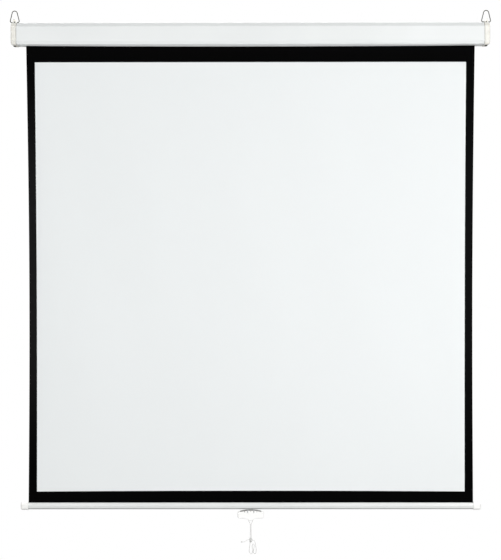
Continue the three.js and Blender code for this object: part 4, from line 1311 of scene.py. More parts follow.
@dataclass
class Studio:
    """Camera, soft light and pale floor."""

    focal_pixels: float = 1268.0
    frame_height: float = 560.0
    sensor: float = 36.0
    camera_place: Point3 = (0.0138, -4.5157, -0.7479)
    camera_angles: Point3 = (88.51, 0.05, 0.175)
    floor_height: float = -2.6
    floor_reach: float = 2.9
    floor_thickness: float = 20.0
    room_light: Point2 = (0.263, 0.634)
    horizon: Point2 = (-0.2, 0.2)
    boxes: tuple[SoftBox, ...] = (
        SoftBox("key", (2.2, -3.2, -0.4), (0.2, 0.0, -0.75), (1.8, 1.8), 62.3),
        SoftBox("key_low", (2.2, -3.2, -1.3), (0.2, 0.0, -1.0), (1.8, 1.8), 15.7),
        SoftBox("fill", (-1.8, -3.6, 0.3), (-0.2, 0.0, -0.6), (2.0, 1.8), 20.8),
        SoftBox("fill_low", (-1.8, -3.6, -1.3), (-0.2, 0.0, -1.0), (2.0, 1.8), 24.3),
        SoftBox("front", (0.6, -7.0, -0.4), (0.0, 0.0, -0.8), (2.5, 2.5), 56.3),
        SoftBox("back", (0.0, 2.6, 1.5), (0.0, 0.8, -2.6), (3.0, 2.0), 110.0),
        SoftBox("strip", (0.0, -0.047, -0.1), (0.0, -0.0475, 0.0), (1.66, 0.03), 0.18, 110.0),
    )

    def camera(self) -> None:
        """Sets the camera where the photograph was taken from."""
        lens = bpy.data.cameras.new("camera")
        lens.sensor_width = self.sensor
        lens.lens = self.sensor * self.focal_pixels / self.frame_height
        eye = bpy.data.objects.new("camera", lens)
        eye.location = self.camera_place
        eye.rotation_euler = tuple(math.radians(angle) for angle in self.camera_angles)
        bpy.context.scene.collection.objects.link(eye)
        bpy.context.scene.camera = eye

    def floor(self) -> None:
        """Lays the floor."""
        reach = self.floor_reach / MM
        height = self.floor_height / MM
        ground = Blank().along_z(circle(2 * reach, 64), height - self.floor_thickness, height).piece("floor")
        ground.data.materials.append(FLOOR_PAINT.material())
        ground.visible_diffuse = False

    def lamp(self, box: SoftBox) -> None:
        """Puts up one soft box.

        Args:
            box: Where it stands and how it shines.
        """
        light = bpy.data.lights.new(box.name, "AREA")
        light.shape = "RECTANGLE"
        light.size, light.size_y = box.size
        light.energy = box.watts
        light.spread = math.radians(box.spread)
        stand = bpy.data.objects.new(box.name, light)
        stand.location = box.place
        way = Vector(box.target) - Vector(box.place)
        stand.rotation_euler = way.to_track_quat("-Z", "Y").to_euler()
        stand.visible_camera = False
        bpy.context.scene.collection.objects.link(stand)

    def room(self) -> None:
        """Makes an even room that is dimmer below than above, and looks plain white to the camera."""
        world = bpy.data.worlds.new("room")
        world.use_nodes = True
        tree = world.node_tree
        kinds = ("TexCoord", "SeparateXYZ", "MapRange", "Background", "LightPath", "MixShader")
        place, parts, fade, seen, path, choice = (tree.nodes.new(f"ShaderNode{kind}") for kind in kinds)
        lit = tree.nodes["Background"]
        for background in (lit, seen):
            background.inputs["Color"].default_value = (1.0, 1.0, 1.0, 1.0)
        fade.interpolation_type = "SMOOTHSTEP"
        names = ("From Min", "From Max", "To Min", "To Max")
        for name, value in zip(names, (*self.horizon, *self.room_light)):
            fade.inputs[name].default_value = value
        for source, target in (
            (place.outputs["Generated"], parts.inputs["Vector"]),
            (parts.outputs["Z"], fade.inputs["Value"]),
            (fade.outputs["Result"], lit.inputs["Strength"]),
            (path.outputs["Is Camera Ray"], choice.inputs[0]),
            (lit.outputs[0], choice.inputs[1]),
            (seen.outputs[0], choice.inputs[2]),
            (choice.outputs[0], tree.nodes["World Output"].inputs["Surface"]),
        ):
            tree.links.new(source, target)
        bpy.context.scene.world = world

    def light(self) -> None:
        """Lights the screen from the front right, with an even white room round it."""
        self.room()
        for box in self.boxes:
            self.lamp(box)
        bpy.context.scene.view_settings.view_transform = "Standard"


@dataclass
class PullCord(Assembly):
    """Braided cord: a loop in the handle, two strands, a knot, two loops below it and a short tail."""

    thickness: float = 2.0
    sides: int = 14
    route_steps: int = 7
    crease: float = 60.0
    clear: float = 0.1
    # The two strands, and the loop over the handle's web.
    mouth_below_pin: float = 30.66
    meet_drop: float = 13.0
    pair: float = 3.0
    loop_rise: float = 6.0
    web_below_pin: float = 21.0
    # The knot, and the small one at the tail's tip.
    knot_drop: float = 62.0
    knot_size: Point3 = (12.0, 9.5, 20.0)
    knot_squeeze: float = 0.8
    knot_steps: int = 96
    knot_sides: int = 12
    strand_lay: float = 0.92
    over_knot: float = 2.3
    tip_size: Point3 = (9.0, 4.8, 4.8)
    tip_overlap: float = 2.0
    # How far in and how far down the strands slant, as shares, before they run side by side.
    slant_shares: tuple[Point2, ...] = ((0, 0), (0.03, 0.12), (0.36, 0.42), (0.72, 0.74), (0.93, 1), (1, 1.3))
    # Places across, in depth and up, counted from the knot's foot and from its top.
    hank_route: tuple[Point3, ...] = (
        (-2.4, 0, -0.3), (-2.4, 0, -2.6), (-3.6, 0.2, -9), (-5, 0.4, -18), (-5.4, 0.4, -28),
        (-4.3, 0.4, -34.2), (-0.2, 0.3, -38.6), (3.8, 0.1, -37.8), (6.5, -0.1, -32.8), (6.8, -0.6, -23),
        (5.5, -1.2, -14), (4.8, -1.8, -8.8), (6.2, -2.4, -4.4), (9, -2.8, -3.2), (11.8, -3.2, -5.6),
        (12.4, -3.4, -11.5), (10.8, -3.3, -20), (9.4, -2.9, -28.6), (10.5, -2.5, -34.8),
        (14.2, -2.1, -38.2), (18, -1.7, -35.6), (19.4, -1.3, -29), (19.2, -0.9, -20), (17.4, -0.5, -9),
        (15.8, -0.2, 0.5), (13.8, 0, 6.4), (10.8, 0, 9.4), (8.3, 0, 10), (4.6, 0, 10),
    )
    tail_route: tuple[Point3, ...] = (
        (1.4, 0, -1.5), (-0.6, 0, -6.2), (-4.8, 0, -8), (-8.9, 0, -8), (-13.5, -0.6, -9.8),
        (-18.5, -1, -13.4), (-23, -1.2, -15.6), (-25, -1.2, -15.8), (-29.5, -1.2, -15.8),
    )

    def __post_init__(self) -> None:
        """Works out the heights that the cord's parts are counted from."""
        self.mouth = LAYOUT.pin_z - self.mouth_below_pin
        self.pivot = self.mouth - LAYOUT.fit - self.thickness / 2
        self.knot_top = self.mouth - self.knot_drop
        self.knot_foot = self.knot_top - self.knot_size[2]

    def strand(self, side: Side) -> list[Point3]:
        """Gives the places of one strand, from the handle's hole to the knot's top.

        Args:
            side: The hole that it leaves.

        Returns:
            The places.
        """
        x, pair = side.value * LAYOUT.hole_spacing / 2, side.value * self.pair / 2
        y, meet = LAYOUT.sheet_y, self.pivot - self.meet_drop
        slant = [
            (x + (pair - x) * inwards, y, self.pivot - self.meet_drop * down)
            for inwards, down in self.slant_shares
        ]
        return [*slant, (pair, y, (meet + self.knot_top) / 2), (pair, y, self.knot_top + self.over_knot)]

    def cord(self, name: str, places: Sequence[Sequence[float]]) -> tuple[Piece, list[Vector]]:
        """Makes one length of cord through places, and gives it with the path of its middle."""
        path = smooth_route(places, self.route_steps)
        return smoothed(Blank().tube(path, self.thickness / 2, self.sides).piece(name), self.crease), path

    def round_end(self, side: Side, place: Vector) -> Piece:
        """Makes the round top end that a strand swings about, under its hole.

        Args:
            side: The hole that it is under.
            place: Its middle.

        Returns:
            The piece.
        """
        radius = self.thickness / 2
        belly = [(radius * math.sin(t), -radius * math.cos(t)) for t in evenly(0.0, math.pi, 10)[1:-1]]
        ball = Blank().spun([(0.0, -radius), *belly, (0.0, radius)], place, UP, 20)
        piece = smoothed(ball.piece(f"strand_top_{side.word}"), self.crease)
        self.dress(piece, BRAID, Body.CORD, [f"cord_strand_{side.word}"])
        return piece

    def tied(self, name: str, centre: Vector, size: Point3, strands: int) -> Piece:
        """Ties a knot: strands side by side through one overhand turn, pulled tight.

        Args:
            name: The piece's name.
            centre: Its middle.
            size: Its width, depth and height.
            strands: How many strands lie side by side.

        Returns:
            The piece.
        """
        blank = Blank()
        radius = self.thickness / 2
        for strand in range(strands):
            shift = (strand - (strands - 1) / 2) * self.thickness * self.strand_lay
            half = Vector(size) / 2 - Vector((radius, radius, radius + abs(shift)))
            path = []
            for t in evenly(0.0, math.tau, self.knot_steps):
                reach = 2.0 + math.cos(3 * t)
                across = reach * math.cos(2 * t) / 3
                deep = math.sin(3 * t)
                up = reach * math.sin(2 * t) / 3
                turn = Vector((across * half.x, deep * half.y * self.knot_squeeze, up * half.z + shift))
                path.append(centre + turn)
            blank.tube(path, radius, self.knot_sides)
        return smoothed(blank.piece(name), self.crease)

    def build(self) -> None:
        y = LAYOUT.sheet_y
        knot_centre = Vector((0.0, y, (self.knot_top + self.knot_foot) / 2))
        knot = self.tied("tied_cord_knot", knot_centre, self.knot_size, 2)
        self.dress(knot, BRAID, Body.CORD, ["cord_knot"])
        self.long_cord(knot)
        self.short_cord()
        self.handle_loop()

    def long_cord(self, knot: Piece) -> None:
        """Runs the left strand through the knot, round the two loops and back into the knot.

        Args:
            knot: The knot that it ends in.
        """
        y = LAYOUT.sheet_y
        loops = [(x, y + deep, self.knot_foot + z) for x, deep, z in self.hank_route]
        inside = [(-1.7, y, self.knot_top - 4), (-2.2, y, self.knot_foot + 5)]
        piece, path = self.cord("braided_cord_left", [*self.strand(Side.LEFT), *inside, *loops])
        self.dress(piece, BRAID, Body.CORD, ["cord_strand_left", "cord_hank"])
        self.declare(piece, path, [knot, self.round_end(Side.LEFT, path[0])])

    def short_cord(self) -> None:
        """Runs the right strand through the knot and out at its left as the tail, to the tip's own knot."""
        tail = [(x, LAYOUT.sheet_y + deep, self.knot_top + z) for x, deep, z in self.tail_route]
        piece, path = self.cord("braided_cord_right", [*self.strand(Side.RIGHT), *tail])
        self.dress(piece, BRAID, Body.CORD, ["cord_strand_right", "cord_tail"])
        past = self.tip_overlap - LAYOUT.fit - self.tip_size[0] / 2
        end_knot = self.tied("tied_cord_tip", Vector(tail[-1]) + Vector((past, 0.0, 0.0)), self.tip_size, 1)
        self.dress(end_knot, BRAID, Body.CORD, ["cord_end_knot"])
        self.declare(piece, path, [end_knot, self.round_end(Side.RIGHT, path[0])])

    def declare(self, piece: Piece, path: list[Vector], on_it: list[Piece]) -> None:
        """Tells the frame that a piece is a free cord.

        Args:
            piece: The cord; not used.
            path: The path of its middle, in millimetres; not used.
            on_it: The pieces on it; not used.
        """

    def handle_loop(self) -> None:
        """Runs the cord up one hole, over the handle's web and down the other, to the strands' round ends."""
        x, y, web = LAYOUT.hole_spacing / 2, LAYOUT.sheet_y, LAYOUT.pin_z - self.web_below_pin
        start = self.pivot + self.thickness / 2 + self.clear
        leg = [start, self.mouth + self.thickness, web - self.thickness]
        angles = [math.pi * (1 - share / 6) for share in range(1, 6)]
        arch = [(x * math.cos(t), y, web + self.loop_rise * math.sin(t)) for t in angles]
        places = [*((-x, y, z) for z in leg), *arch, *((x, y, z) for z in reversed(leg))]
        piece, _ = self.cord("braided_cord_in_handle", places)
        self.dress(piece, BRAID, Body.HANDLE, ["cord_loop"])


@dataclass
class Housing(Assembly):
    """Roll-formed steel case with a hemmed slot underneath."""

    ribs: int = 24
    least_round: float = 0.6
    # The slot, and the hems along its two sides.
    slot_width: float = 13.0
    hem: float = 6.0
    hem_rise: float = 1.25
    # How far the free edge in front of the slot sags, and how far forward that reaches.
    sag: float = 3.2
    flange: float = 34.0

    def sunk(self, x: float, y: float, z: float) -> float:
        """Gives the height of a point of the wall, as the underside's free front edge sags between the caps.

        Args:
            x: The point's place along the case.
            y: Its depth.
            z: Its height in a straight case.

        Returns:
            Its height.
        """
        before_slot = LAYOUT.sheet_y - self.slot_width / 2 - y
        if z > 0 or before_slot < 0:
            return z
        share = max(0.0, 1 - before_slot / self.flange)
        return z - self.sag * share * (1 - (x / LAYOUT.case_end) ** 2)

    def section(self) -> list[Point2]:
        """Folds the wall from one strip of steel, turned back along both sides of the slot.

        Returns:
            Its outline as (y, z) points.
        """
        wall = LAYOUT.case_wall
        middle = inset(LAYOUT.case_corners(), wall / 2, self.least_round)
        floor = middle[0].b
        front, back = LAYOUT.sheet_y - self.slot_width / 2, LAYOUT.sheet_y + self.slot_width / 2
        edge, bend = wall / 2, self.hem_rise / 2
        hem_front = [
            Corner(front - edge - self.hem, floor + self.hem_rise),
            Corner(front - edge, floor + self.hem_rise, bend),
            Corner(front - edge, floor, bend),
        ]
        hem_back = [
            Corner(back + edge, floor, bend),
            Corner(back + edge, floor + self.hem_rise, bend),
            Corner(back + edge + self.hem, floor + self.hem_rise),
        ]
        return thickened(rounded([*hem_front, *middle, *hem_back], closed=False), wall)

    def build(self) -> None:
        """Builds the case."""
        shell = Blank()
        outline = self.section()
        stations = evenly(-LAYOUT.case_end, LAYOUT.case_end, self.ribs)
        shell.loft([[Vector((x, a, self.sunk(x, a, b))) for a, b in outline] for x in stations])
        piece = smoothed(shell.piece("roll_formed_case"), 30.0)
        self.dress(piece, WHITE_COAT, Body.CASE, ["case_shell"])


@dataclass
class EndCap(Assembly):
    """Moulded end cap with its lug, and the two screws that hold it to the plate inside."""

    side: Side = Side.RIGHT
    end_wall: float = 3.6
    wall: float = 2.2
    plug_length: float = 18.0
    edge: float = 5.0
    shadow_gap: Point2 = (1.7, 2.3)
    groove: float = 831.0
    # The lug on top, with its window.
    lug_base: float = 16.0
    window: float = 5.6
    lug_top: float = 9.0
    lug_height: float = 15.0
    lug_depth: float = 12.0
    lug_round: float = 4.0
    lug_root: float = 0.6
    # Both screws: shaft, thread, round head and cross.
    screw: float = 4.0
    thread: float = 0.7
    thread_core: float = 0.84
    screw_point: float = 0.6
    head_round: float = 0.35
    head_flank: float = 0.45
    cross: float = 0.55
    cross_half: float = 0.5
    cross_over: float = 0.3
    # The screw in the end wall, and the dark one in the foot.
    end_head: float = 8.0
    end_head_height: float = 2.2
    end_screw_rise: float = 22.0
    foot_head: float = 10.0
    foot_head_height: float = 3.0
    plate_in: float = 832.1
    end_screw_past: float = 2.0
    foot_tip: float = -30.5

    def x(self, place: float) -> float:
        """Gives a place along X, counted outwards, on this cap's side."""
        return self.side.value * place

    def build(self) -> None:
        """Builds the cap and its screws."""
        self.cap()
        self.end_screw()
        self.foot_screw()

    def cap(self) -> None:
        """Builds the cap: a skin, a hollow plug, a lug and the holes through them."""
        grown = inset(LAYOUT.case_corners(), -LAYOUT.cap_proud)
        corners = [Corner(min(c.a, 0.0), c.b, c.radius) for c in grown]
        ends = (LAYOUT.case_end + LAYOUT.fit, LAYOUT.cap_end)
        joint = self.shadow_gap
        skin = Blank().domed(corners, ends, self.edge, self.side, groove=self.groove, shadow_gap=joint)
        piece = skin.piece(f"moulded_cap_{self.side.word}")
        plug_corners = inset(LAYOUT.case_corners(), LAYOUT.case_wall + LAYOUT.fit)
        inner = LAYOUT.case_end - self.plug_length
        plug_span = self.side.span(inner, LAYOUT.case_end + LAYOUT.cap_length / 2)
        plug = Blank().along_x(rounded(plug_corners), *plug_span)
        hollow_span = self.side.span(inner - 1, LAYOUT.cap_end - self.end_wall)
        hollow = Blank().along_x(rounded(inset(plug_corners, self.wall)), *hollow_span)
        carved(piece, [plug], "UNION")
        carved(piece, [hollow])
        carved(piece, [self.lug()], "UNION")
        carved(piece, self.holes())
        smoothed(softened(piece, 0.35, 42.0), 40.0)
        self.dress(piece, IVORY, Body.CASE, [f"end_cap_{self.side.word}"])

    def lug(self) -> Blank:
        """Builds the lug that the bail passes through.

        Returns:
            The blank.
        """
        x, y, _ = LAYOUT.lug
        root, top = LAYOUT.case_top - self.lug_root, LAYOUT.cap_top + self.lug_height
        corners = [
            Corner(self.x(x - self.lug_base / 2), root),
            Corner(self.x(x + self.lug_base / 2), root),
            Corner(self.x(x + self.lug_top / 2), top, self.lug_round),
            Corner(self.x(x - self.lug_top / 2), top, self.lug_round),
        ]
        return Blank().along_y(rounded(corners, 10), y - self.lug_depth / 2, y + self.lug_depth / 2)

    def holes(self) -> list[Blank]:
        """Builds the bore for the bail with its window, the two screw holes and the end screw's seat.

        Returns:
            The blanks to cut away.
        """
        x, y, z = LAYOUT.lug
        free = 2 * LAYOUT.fit
        past = self.side.span(LAYOUT.case_end, LAYOUT.cap_end + 1)
        seat = self.side.span(LAYOUT.cap_end - self.end_head_height - LAYOUT.fit, LAYOUT.cap_end + 1)
        foot_hole = circle(self.screw + free, 20, self.x(x), y)
        return [
            Blank().along_x(circle(LAYOUT.bail_wire + free, 20, y, z), *past),
            Blank().along_y(circle(self.window, 24, self.x(x), z), y - self.lug_depth, y),
            Blank().along_x(circle(self.screw + free, 20, y, self.end_screw_rise), *past),
            Blank().along_x(circle(self.end_head + free, 28, y, self.end_screw_rise), *seat),
            Blank().along_z(foot_hole, -LAYOUT.cap_top - 1, -LAYOUT.case_top / 2),
        ]

    def driven(self, name: str, head: Vector, way: Vector, sizes: Point3) -> Piece:
        """Makes a pan-head screw with a cross recess and a threaded shaft.

        Args:
            name: The piece's name.
            head: The middle of the head's seat.
            way: The way that the shaft goes from there.
            sizes: The head's diameter, its height and the shaft's length.

        Returns:
            The piece.
        """
        diameter, height, length = sizes
        radius, core = diameter / 2, self.screw / 2
        rise = radius * self.head_round
        crown = [(radius * math.sin(t), -height + rise * (1 - math.cos(t))) for t in (0.3, 0.6, 0.9, 1.2)]
        profile = [(0.0, -height), *crown, (radius, -height * self.head_flank), (radius, 0.0), (core, 0.0)]
        for turn in range(1, int(length / self.thread)):
            profile.append((core * (self.thread_core if turn % 2 else 1.0), turn * self.thread))
        profile += [(core * self.screw_point, length), (0.0, length)]
        piece = Blank().spun(profile, head, way, 28).piece(name)
        self.cross_cut(piece, head - way * (height + self.cross_over), way, (radius, height))
        return smoothed(piece, 35.0)

    def cross_cut(self, piece: Piece, middle: Vector, way: Vector, sizes: Point2) -> None:
        """Cuts a tapering cross into a screw's head.

        Args:
            piece: The screw.
            middle: Where the cut starts, just over the head.
            way: The way that it goes in.
            sizes: The head's radius and height.
        """
        radius, height = sizes
        first = way.orthogonal().normalized()
        second = way.cross(first).normalized()
        half, thin, deep = radius * self.cross, self.cross_half, height * self.cross + self.cross_over
        ring = [(half, thin), (-half, thin), (-half, -thin), (half, -thin)]
        for long, short in ((first, second), (second, first)):
            recess = [
                [middle + way * down + long * a * share + short * b for a, b in ring]
                for down, share in ((0.0, 1.0), (deep, self.cross))
            ]
            carved(piece, [Blank().loft(recess)])

    def end_screw(self) -> None:
        """Builds the screw through the cap's end wall."""
        y = -LAYOUT.case_depth / 2
        seat = Vector((self.x(LAYOUT.cap_end - self.end_head_height), y, self.end_screw_rise))
        length = LAYOUT.cap_end - self.end_head_height - self.plate_in + self.end_screw_past
        way = Vector((-self.side.value, 0.0, 0.0))
        sizes = (self.end_head, self.end_head_height, length)
        piece = self.driven(f"end_screw_{self.side.word}", seat, way, sizes)
        self.dress(piece, ZINC, Body.CASE, [f"cap_screw_{self.side.word}_end"])

    def foot_screw(self) -> None:
        """Builds the dark screw up through the cap's floor."""
        seat = Vector((self.x(LAYOUT.lug[0]), -LAYOUT.case_depth / 2, -LAYOUT.cap_top - LAYOUT.fit))
        sizes = (self.foot_head, self.foot_head_height, self.foot_tip - seat.z)
        piece = self.driven(f"foot_screw_{self.side.word}", seat, UP, sizes)
        self.dress(piece, SCREW_BLACK, Body.CASE, [f"cap_screw_{self.side.word}_foot"])


@dataclass
class HangingBail(Assembly):
    """Wire bail bent to a rounded trapezium, whose ends meet in the lug."""

    side: Side = Side.RIGHT
    base: float = 34.0
    top: float = 14.5
    height: float = 40.0
    bend: float = 5.0
    top_bend: float = 8.6
    joint: float = 1.0

    def build(self) -> None:
        """Builds the bail."""
        x, y, z = LAYOUT.lug
        corners = [
            Corner(x + self.joint / 2, z),
            Corner(x + self.base / 2, z, self.bend),
            Corner(x + self.top / 2, z + self.height, self.top_bend),
            Corner(x - self.top / 2, z + self.height, self.top_bend),
            Corner(x - self.base / 2, z, self.bend),
            Corner(x - self.joint / 2, z),
        ]
        line = rounded(corners, 12, closed=False)
        path = [Vector((self.side.value * a, y, b)) for a, b in line]
        wire = Blank().tube(path, LAYOUT.bail_wire / 2, 16)
        piece = smoothed(wire.piece(f"bent_bail_{self.side.word}"), 50.0)
        body = Body.BAIL_RIGHT if self.side is Side.RIGHT else Body.BAIL_LEFT
        self.dress(piece, BAIL_WIRE, body, [f"bail_{self.side.word}"])


@dataclass
class SpringRoller(Assembly):
    """Spring roller: the fabric still wound on it, and its inner workings in their own metals."""

    layers: float = 2.0
    first_radius: float = 16.5
    film: float = 0.34
    turn_steps: int = 64

    def build(self) -> None:
        """Builds the wound fabric and finishes the workings."""
        line = []
        steps = int(self.layers * self.turn_steps)
        for k in range(steps + 1):
            angle = math.tau * self.layers * k / steps
            radius = self.first_radius + LAYOUT.fabric * self.layers * k / steps
            line.append((-LAYOUT.roller_from_wall + radius * math.cos(angle), radius * math.sin(angle)))
        wound = Blank().along_x(thickened(line, self.film), -LAYOUT.sheet_half, LAYOUT.sheet_half)
        piece = smoothed(wound.piece("wound_fabric"), 40.0)
        self.dress(piece, BACKING_BLACK, Body.ROLLER, ["fabric_turns"])
        self.refinish(MILL, "roller_tube")
        self.refinish(SPRING, "torsion_spring")
        plastic = ["fabric_spline", "spring_collar", "spring_driver_plug", "spring_end_plug", "idle_plug"]
        self.refinish(NYLON, *plastic)
        self.refinish(BUSH_WHITE, "bearing_bush")
        metal = ["end_plate_left", "end_plate_right", "still_rod", "ratchet_hub", "idle_pin"]
        pawls = ["pawl_upper", "pawl_lower", "pawl_pin_upper", "pawl_pin_lower"]
        self.refinish(ZINC, *metal, *pawls)


@dataclass(frozen=True)
class Wave:
    """One slow wave of the hanging sheet: how often it turns across and down, where it starts, its share."""

    across: float
    down: float
    phase: float
    share: float


@dataclass
class ProjectionSheet(Assembly):
    """The sheet: white, black round it and on its back, with curled sides and a slack crease."""

    # The two sides' curl towards the wall, and how far each is drawn in.
    curl_reach: float = 90.0
    curl_depth: float = 10.0
    draw_left: float = 5.0
    draw_right: float = 3.4
    # The slow waves and the slanting crease.
    wave_depth: float = 1.6
    crease_depth: float = 2.6
    crease_width: float = 85.0
    crease_from: Point2 = (0.06, 0.24)
    crease_to: Point2 = (0.48, 0.98)
    waves: tuple[Wave, ...] = (Wave(2.3, 0.6, 0.4, 1.0), Wave(4.6, -1.3, 1.9, 0.45))
    # How far the white area's lower edge bows up, and how high that reaches.
    bow: float = 3.0
    bow_reach: float = 30.0
    # Its travel, its grid, and its hem inside the bar.
    travel: float = 1615.0
    pitch: float = 12.0
    tuck: float = 1.5
    rod: float = 4.4
    hem_steps: int = 40
    hem_inset: float = 20.0
    hem_film: float = 0.9

    def __post_init__(self) -> None:
        """Works out where the sheet ends in the bar."""
        self.foot = LAYOUT.bar_top - self.tuck

    def place(self, x: float, z: float) -> Vector:
        """Gives the place of one point of the sheet.

        Args:
            x: Its place across the flat sheet.
            z: Its height.

        Returns:
            Where it hangs.
        """
        half, slot = LAYOUT.sheet_half, -LAYOUT.case_top
        down = min(max((slot - z) / (slot - LAYOUT.bar_top), 0.0), 1.0)
        free = math.sin(math.pi * down)
        edge = max(0.0, 1 - (half - abs(x)) / self.curl_reach) ** 2
        wave = sum(
            w.share * math.sin(math.tau * (w.across * x / (2 * half) + w.down * down) + w.phase)
            for w in self.waves
        )
        crease = self.crease_depth * self.crease_at(x, z, down)
        y = LAYOUT.sheet_y + free * (self.curl_depth * edge + self.wave_depth * wave * (1 - edge) - crease)
        draw = self.draw_left if x < 0 else -self.draw_right
        lift = self.bow * (1 - (x / half) ** 2) * math.exp(-(((z - LAYOUT.view_foot) / self.bow_reach) ** 2))
        return Vector((x + draw * edge * free, y, z + lift))

    def crease_at(self, x: float, z: float, down: float) -> float:
        """Tells how much of the slanting crease a point has.

        Args:
            x: Its place across the sheet.
            z: Its height.
            down: Its share of the way down.

        Returns:
            A share from 0 to 1.
        """
        width, height = 2 * LAYOUT.sheet_half, LAYOUT.view_height
        start = Vector((self.crease_from[0] * width, self.crease_from[1] * height))
        end = Vector((self.crease_to[0] * width, self.crease_to[1] * height))
        along = (end - start).normalized()
        here = Vector((x, LAYOUT.view_top - z)) - start
        off = (along.x * here.y - along.y * here.x) / self.crease_width
        share = min(max((down - self.crease_from[1]) / (1 - self.crease_from[1]), 0.0), 1.0)
        return math.exp(-off * off) * share * share * (3 - 2 * share)

    def lines(self, stops: Sequence[float]) -> list[float]:
        """Gives grid lines at every stop and at even steps between them.

        Args:
            stops: The places that have to have a line.

        Returns:
            The places of all lines.
        """
        made = [stops[0]]
        for start, end in zip(stops, stops[1:]):
            made += evenly(start, end, max(2, round(abs(end - start) / self.pitch)))[1:]
        return made

    def build(self) -> None:
        """Builds the sheet and its hem."""
        half, view = LAYOUT.sheet_half, LAYOUT.view_width / 2
        columns = self.lines([-half, -view, view, half])
        stops = [0.0, -LAYOUT.case_top, LAYOUT.view_top, LAYOUT.view_foot, LAYOUT.bar_top, self.foot]
        rows = self.lines(stops)
        blank = Blank()
        cloth = blank.mesh
        layers = []
        for offset in (-LAYOUT.fabric / 2, LAYOUT.fabric / 2):
            shift = Vector((0, offset, 0))
            layers.append([[cloth.verts.new(self.place(x, z) + shift) for x in columns] for z in rows])
        self.skin(cloth, layers, columns, rows)
        piece = smoothed(blank.piece("hanging_sheet"), 60.0)
        for finish in (VIEW_WHITE, BORDER_BLACK, BACKING_BLACK):
            piece.data.materials.append(finish.material())
        nodes = ["screen_fabric", "border_drop_top", "border_left", "border_right", "border_bottom"]
        self.mount(piece, Body.CASE, nodes)
        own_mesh(piece)
        hem = self.hem()
        self.refinish(ZINC, "hem_rod")

    def skin(
        self,
        cloth: bmesh.types.BMesh,
        layers: list[list[list[bmesh.types.BMVert]]],
        columns: list[float],
        rows: list[float],
    ) -> None:
        """Joins the two layers of points as front, back and rim, each face in its own colour.

        Args:
            cloth: The mesh.
            layers: The front and back points, by row and column.
            columns: The places of the columns.
            rows: The heights of the rows.
        """
        front, back = layers
        white, black, backing = range(3)
        view = LAYOUT.view_width / 2
        for r in range(len(rows) - 1):
            for c in range(len(columns) - 1):
                inside = abs(columns[c] + columns[c + 1]) / 2 < view
                inside = inside and LAYOUT.view_foot < (rows[r] + rows[r + 1]) / 2 < LAYOUT.view_top
                corners = ((r, c), (r + 1, c), (r + 1, c + 1), (r, c + 1))
                cloth.faces.new([front[i][j] for i, j in corners]).material_index = white if inside else black
                cloth.faces.new([back[i][j] for i, j in reversed(corners)]).material_index = backing
        last_row, last = len(rows) - 1, len(columns) - 1
        rim = [(0, c) for c in range(last)] + [(r, last) for r in range(last_row)]
        rim += [(last_row, c) for c in range(last, 0, -1)] + [(r, 0) for r in range(last_row, 0, -1)]
        for (r, c), (s, d) in zip(rim, [*rim[1:], rim[0]]):
            cloth.faces.new((front[r][c], front[s][d], back[s][d], back[r][c])).material_index = black

    def hem(self) -> Piece:
        """Builds the fabric's last edge, looped round its rod inside the bar.

        Returns:
            The hem.
        """
        rod, fit, fabric = self.rod, LAYOUT.fit, LAYOUT.fabric
        middle = LAYOUT.bar_top - LAYOUT.bar_wall - 2 * fit - fabric - fit - rod / 2
        radius = rod / 2 + fit + fabric / 2
        line = []
        for turn in evenly(0.0, math.tau, self.hem_steps):
            angle = math.pi / 2 + turn
            line.append((LAYOUT.sheet_y + radius * math.cos(angle), middle + radius * math.sin(angle)))
        half = LAYOUT.bar_half - self.hem_inset
        hem = Blank().along_x(thickened(line, fabric * self.hem_film), -half, half)
        piece = smoothed(hem.piece("sheet_hem"), 40.0)
        return self.dress(piece, BACKING_BLACK, Body.BAR, ["fabric_hem"])


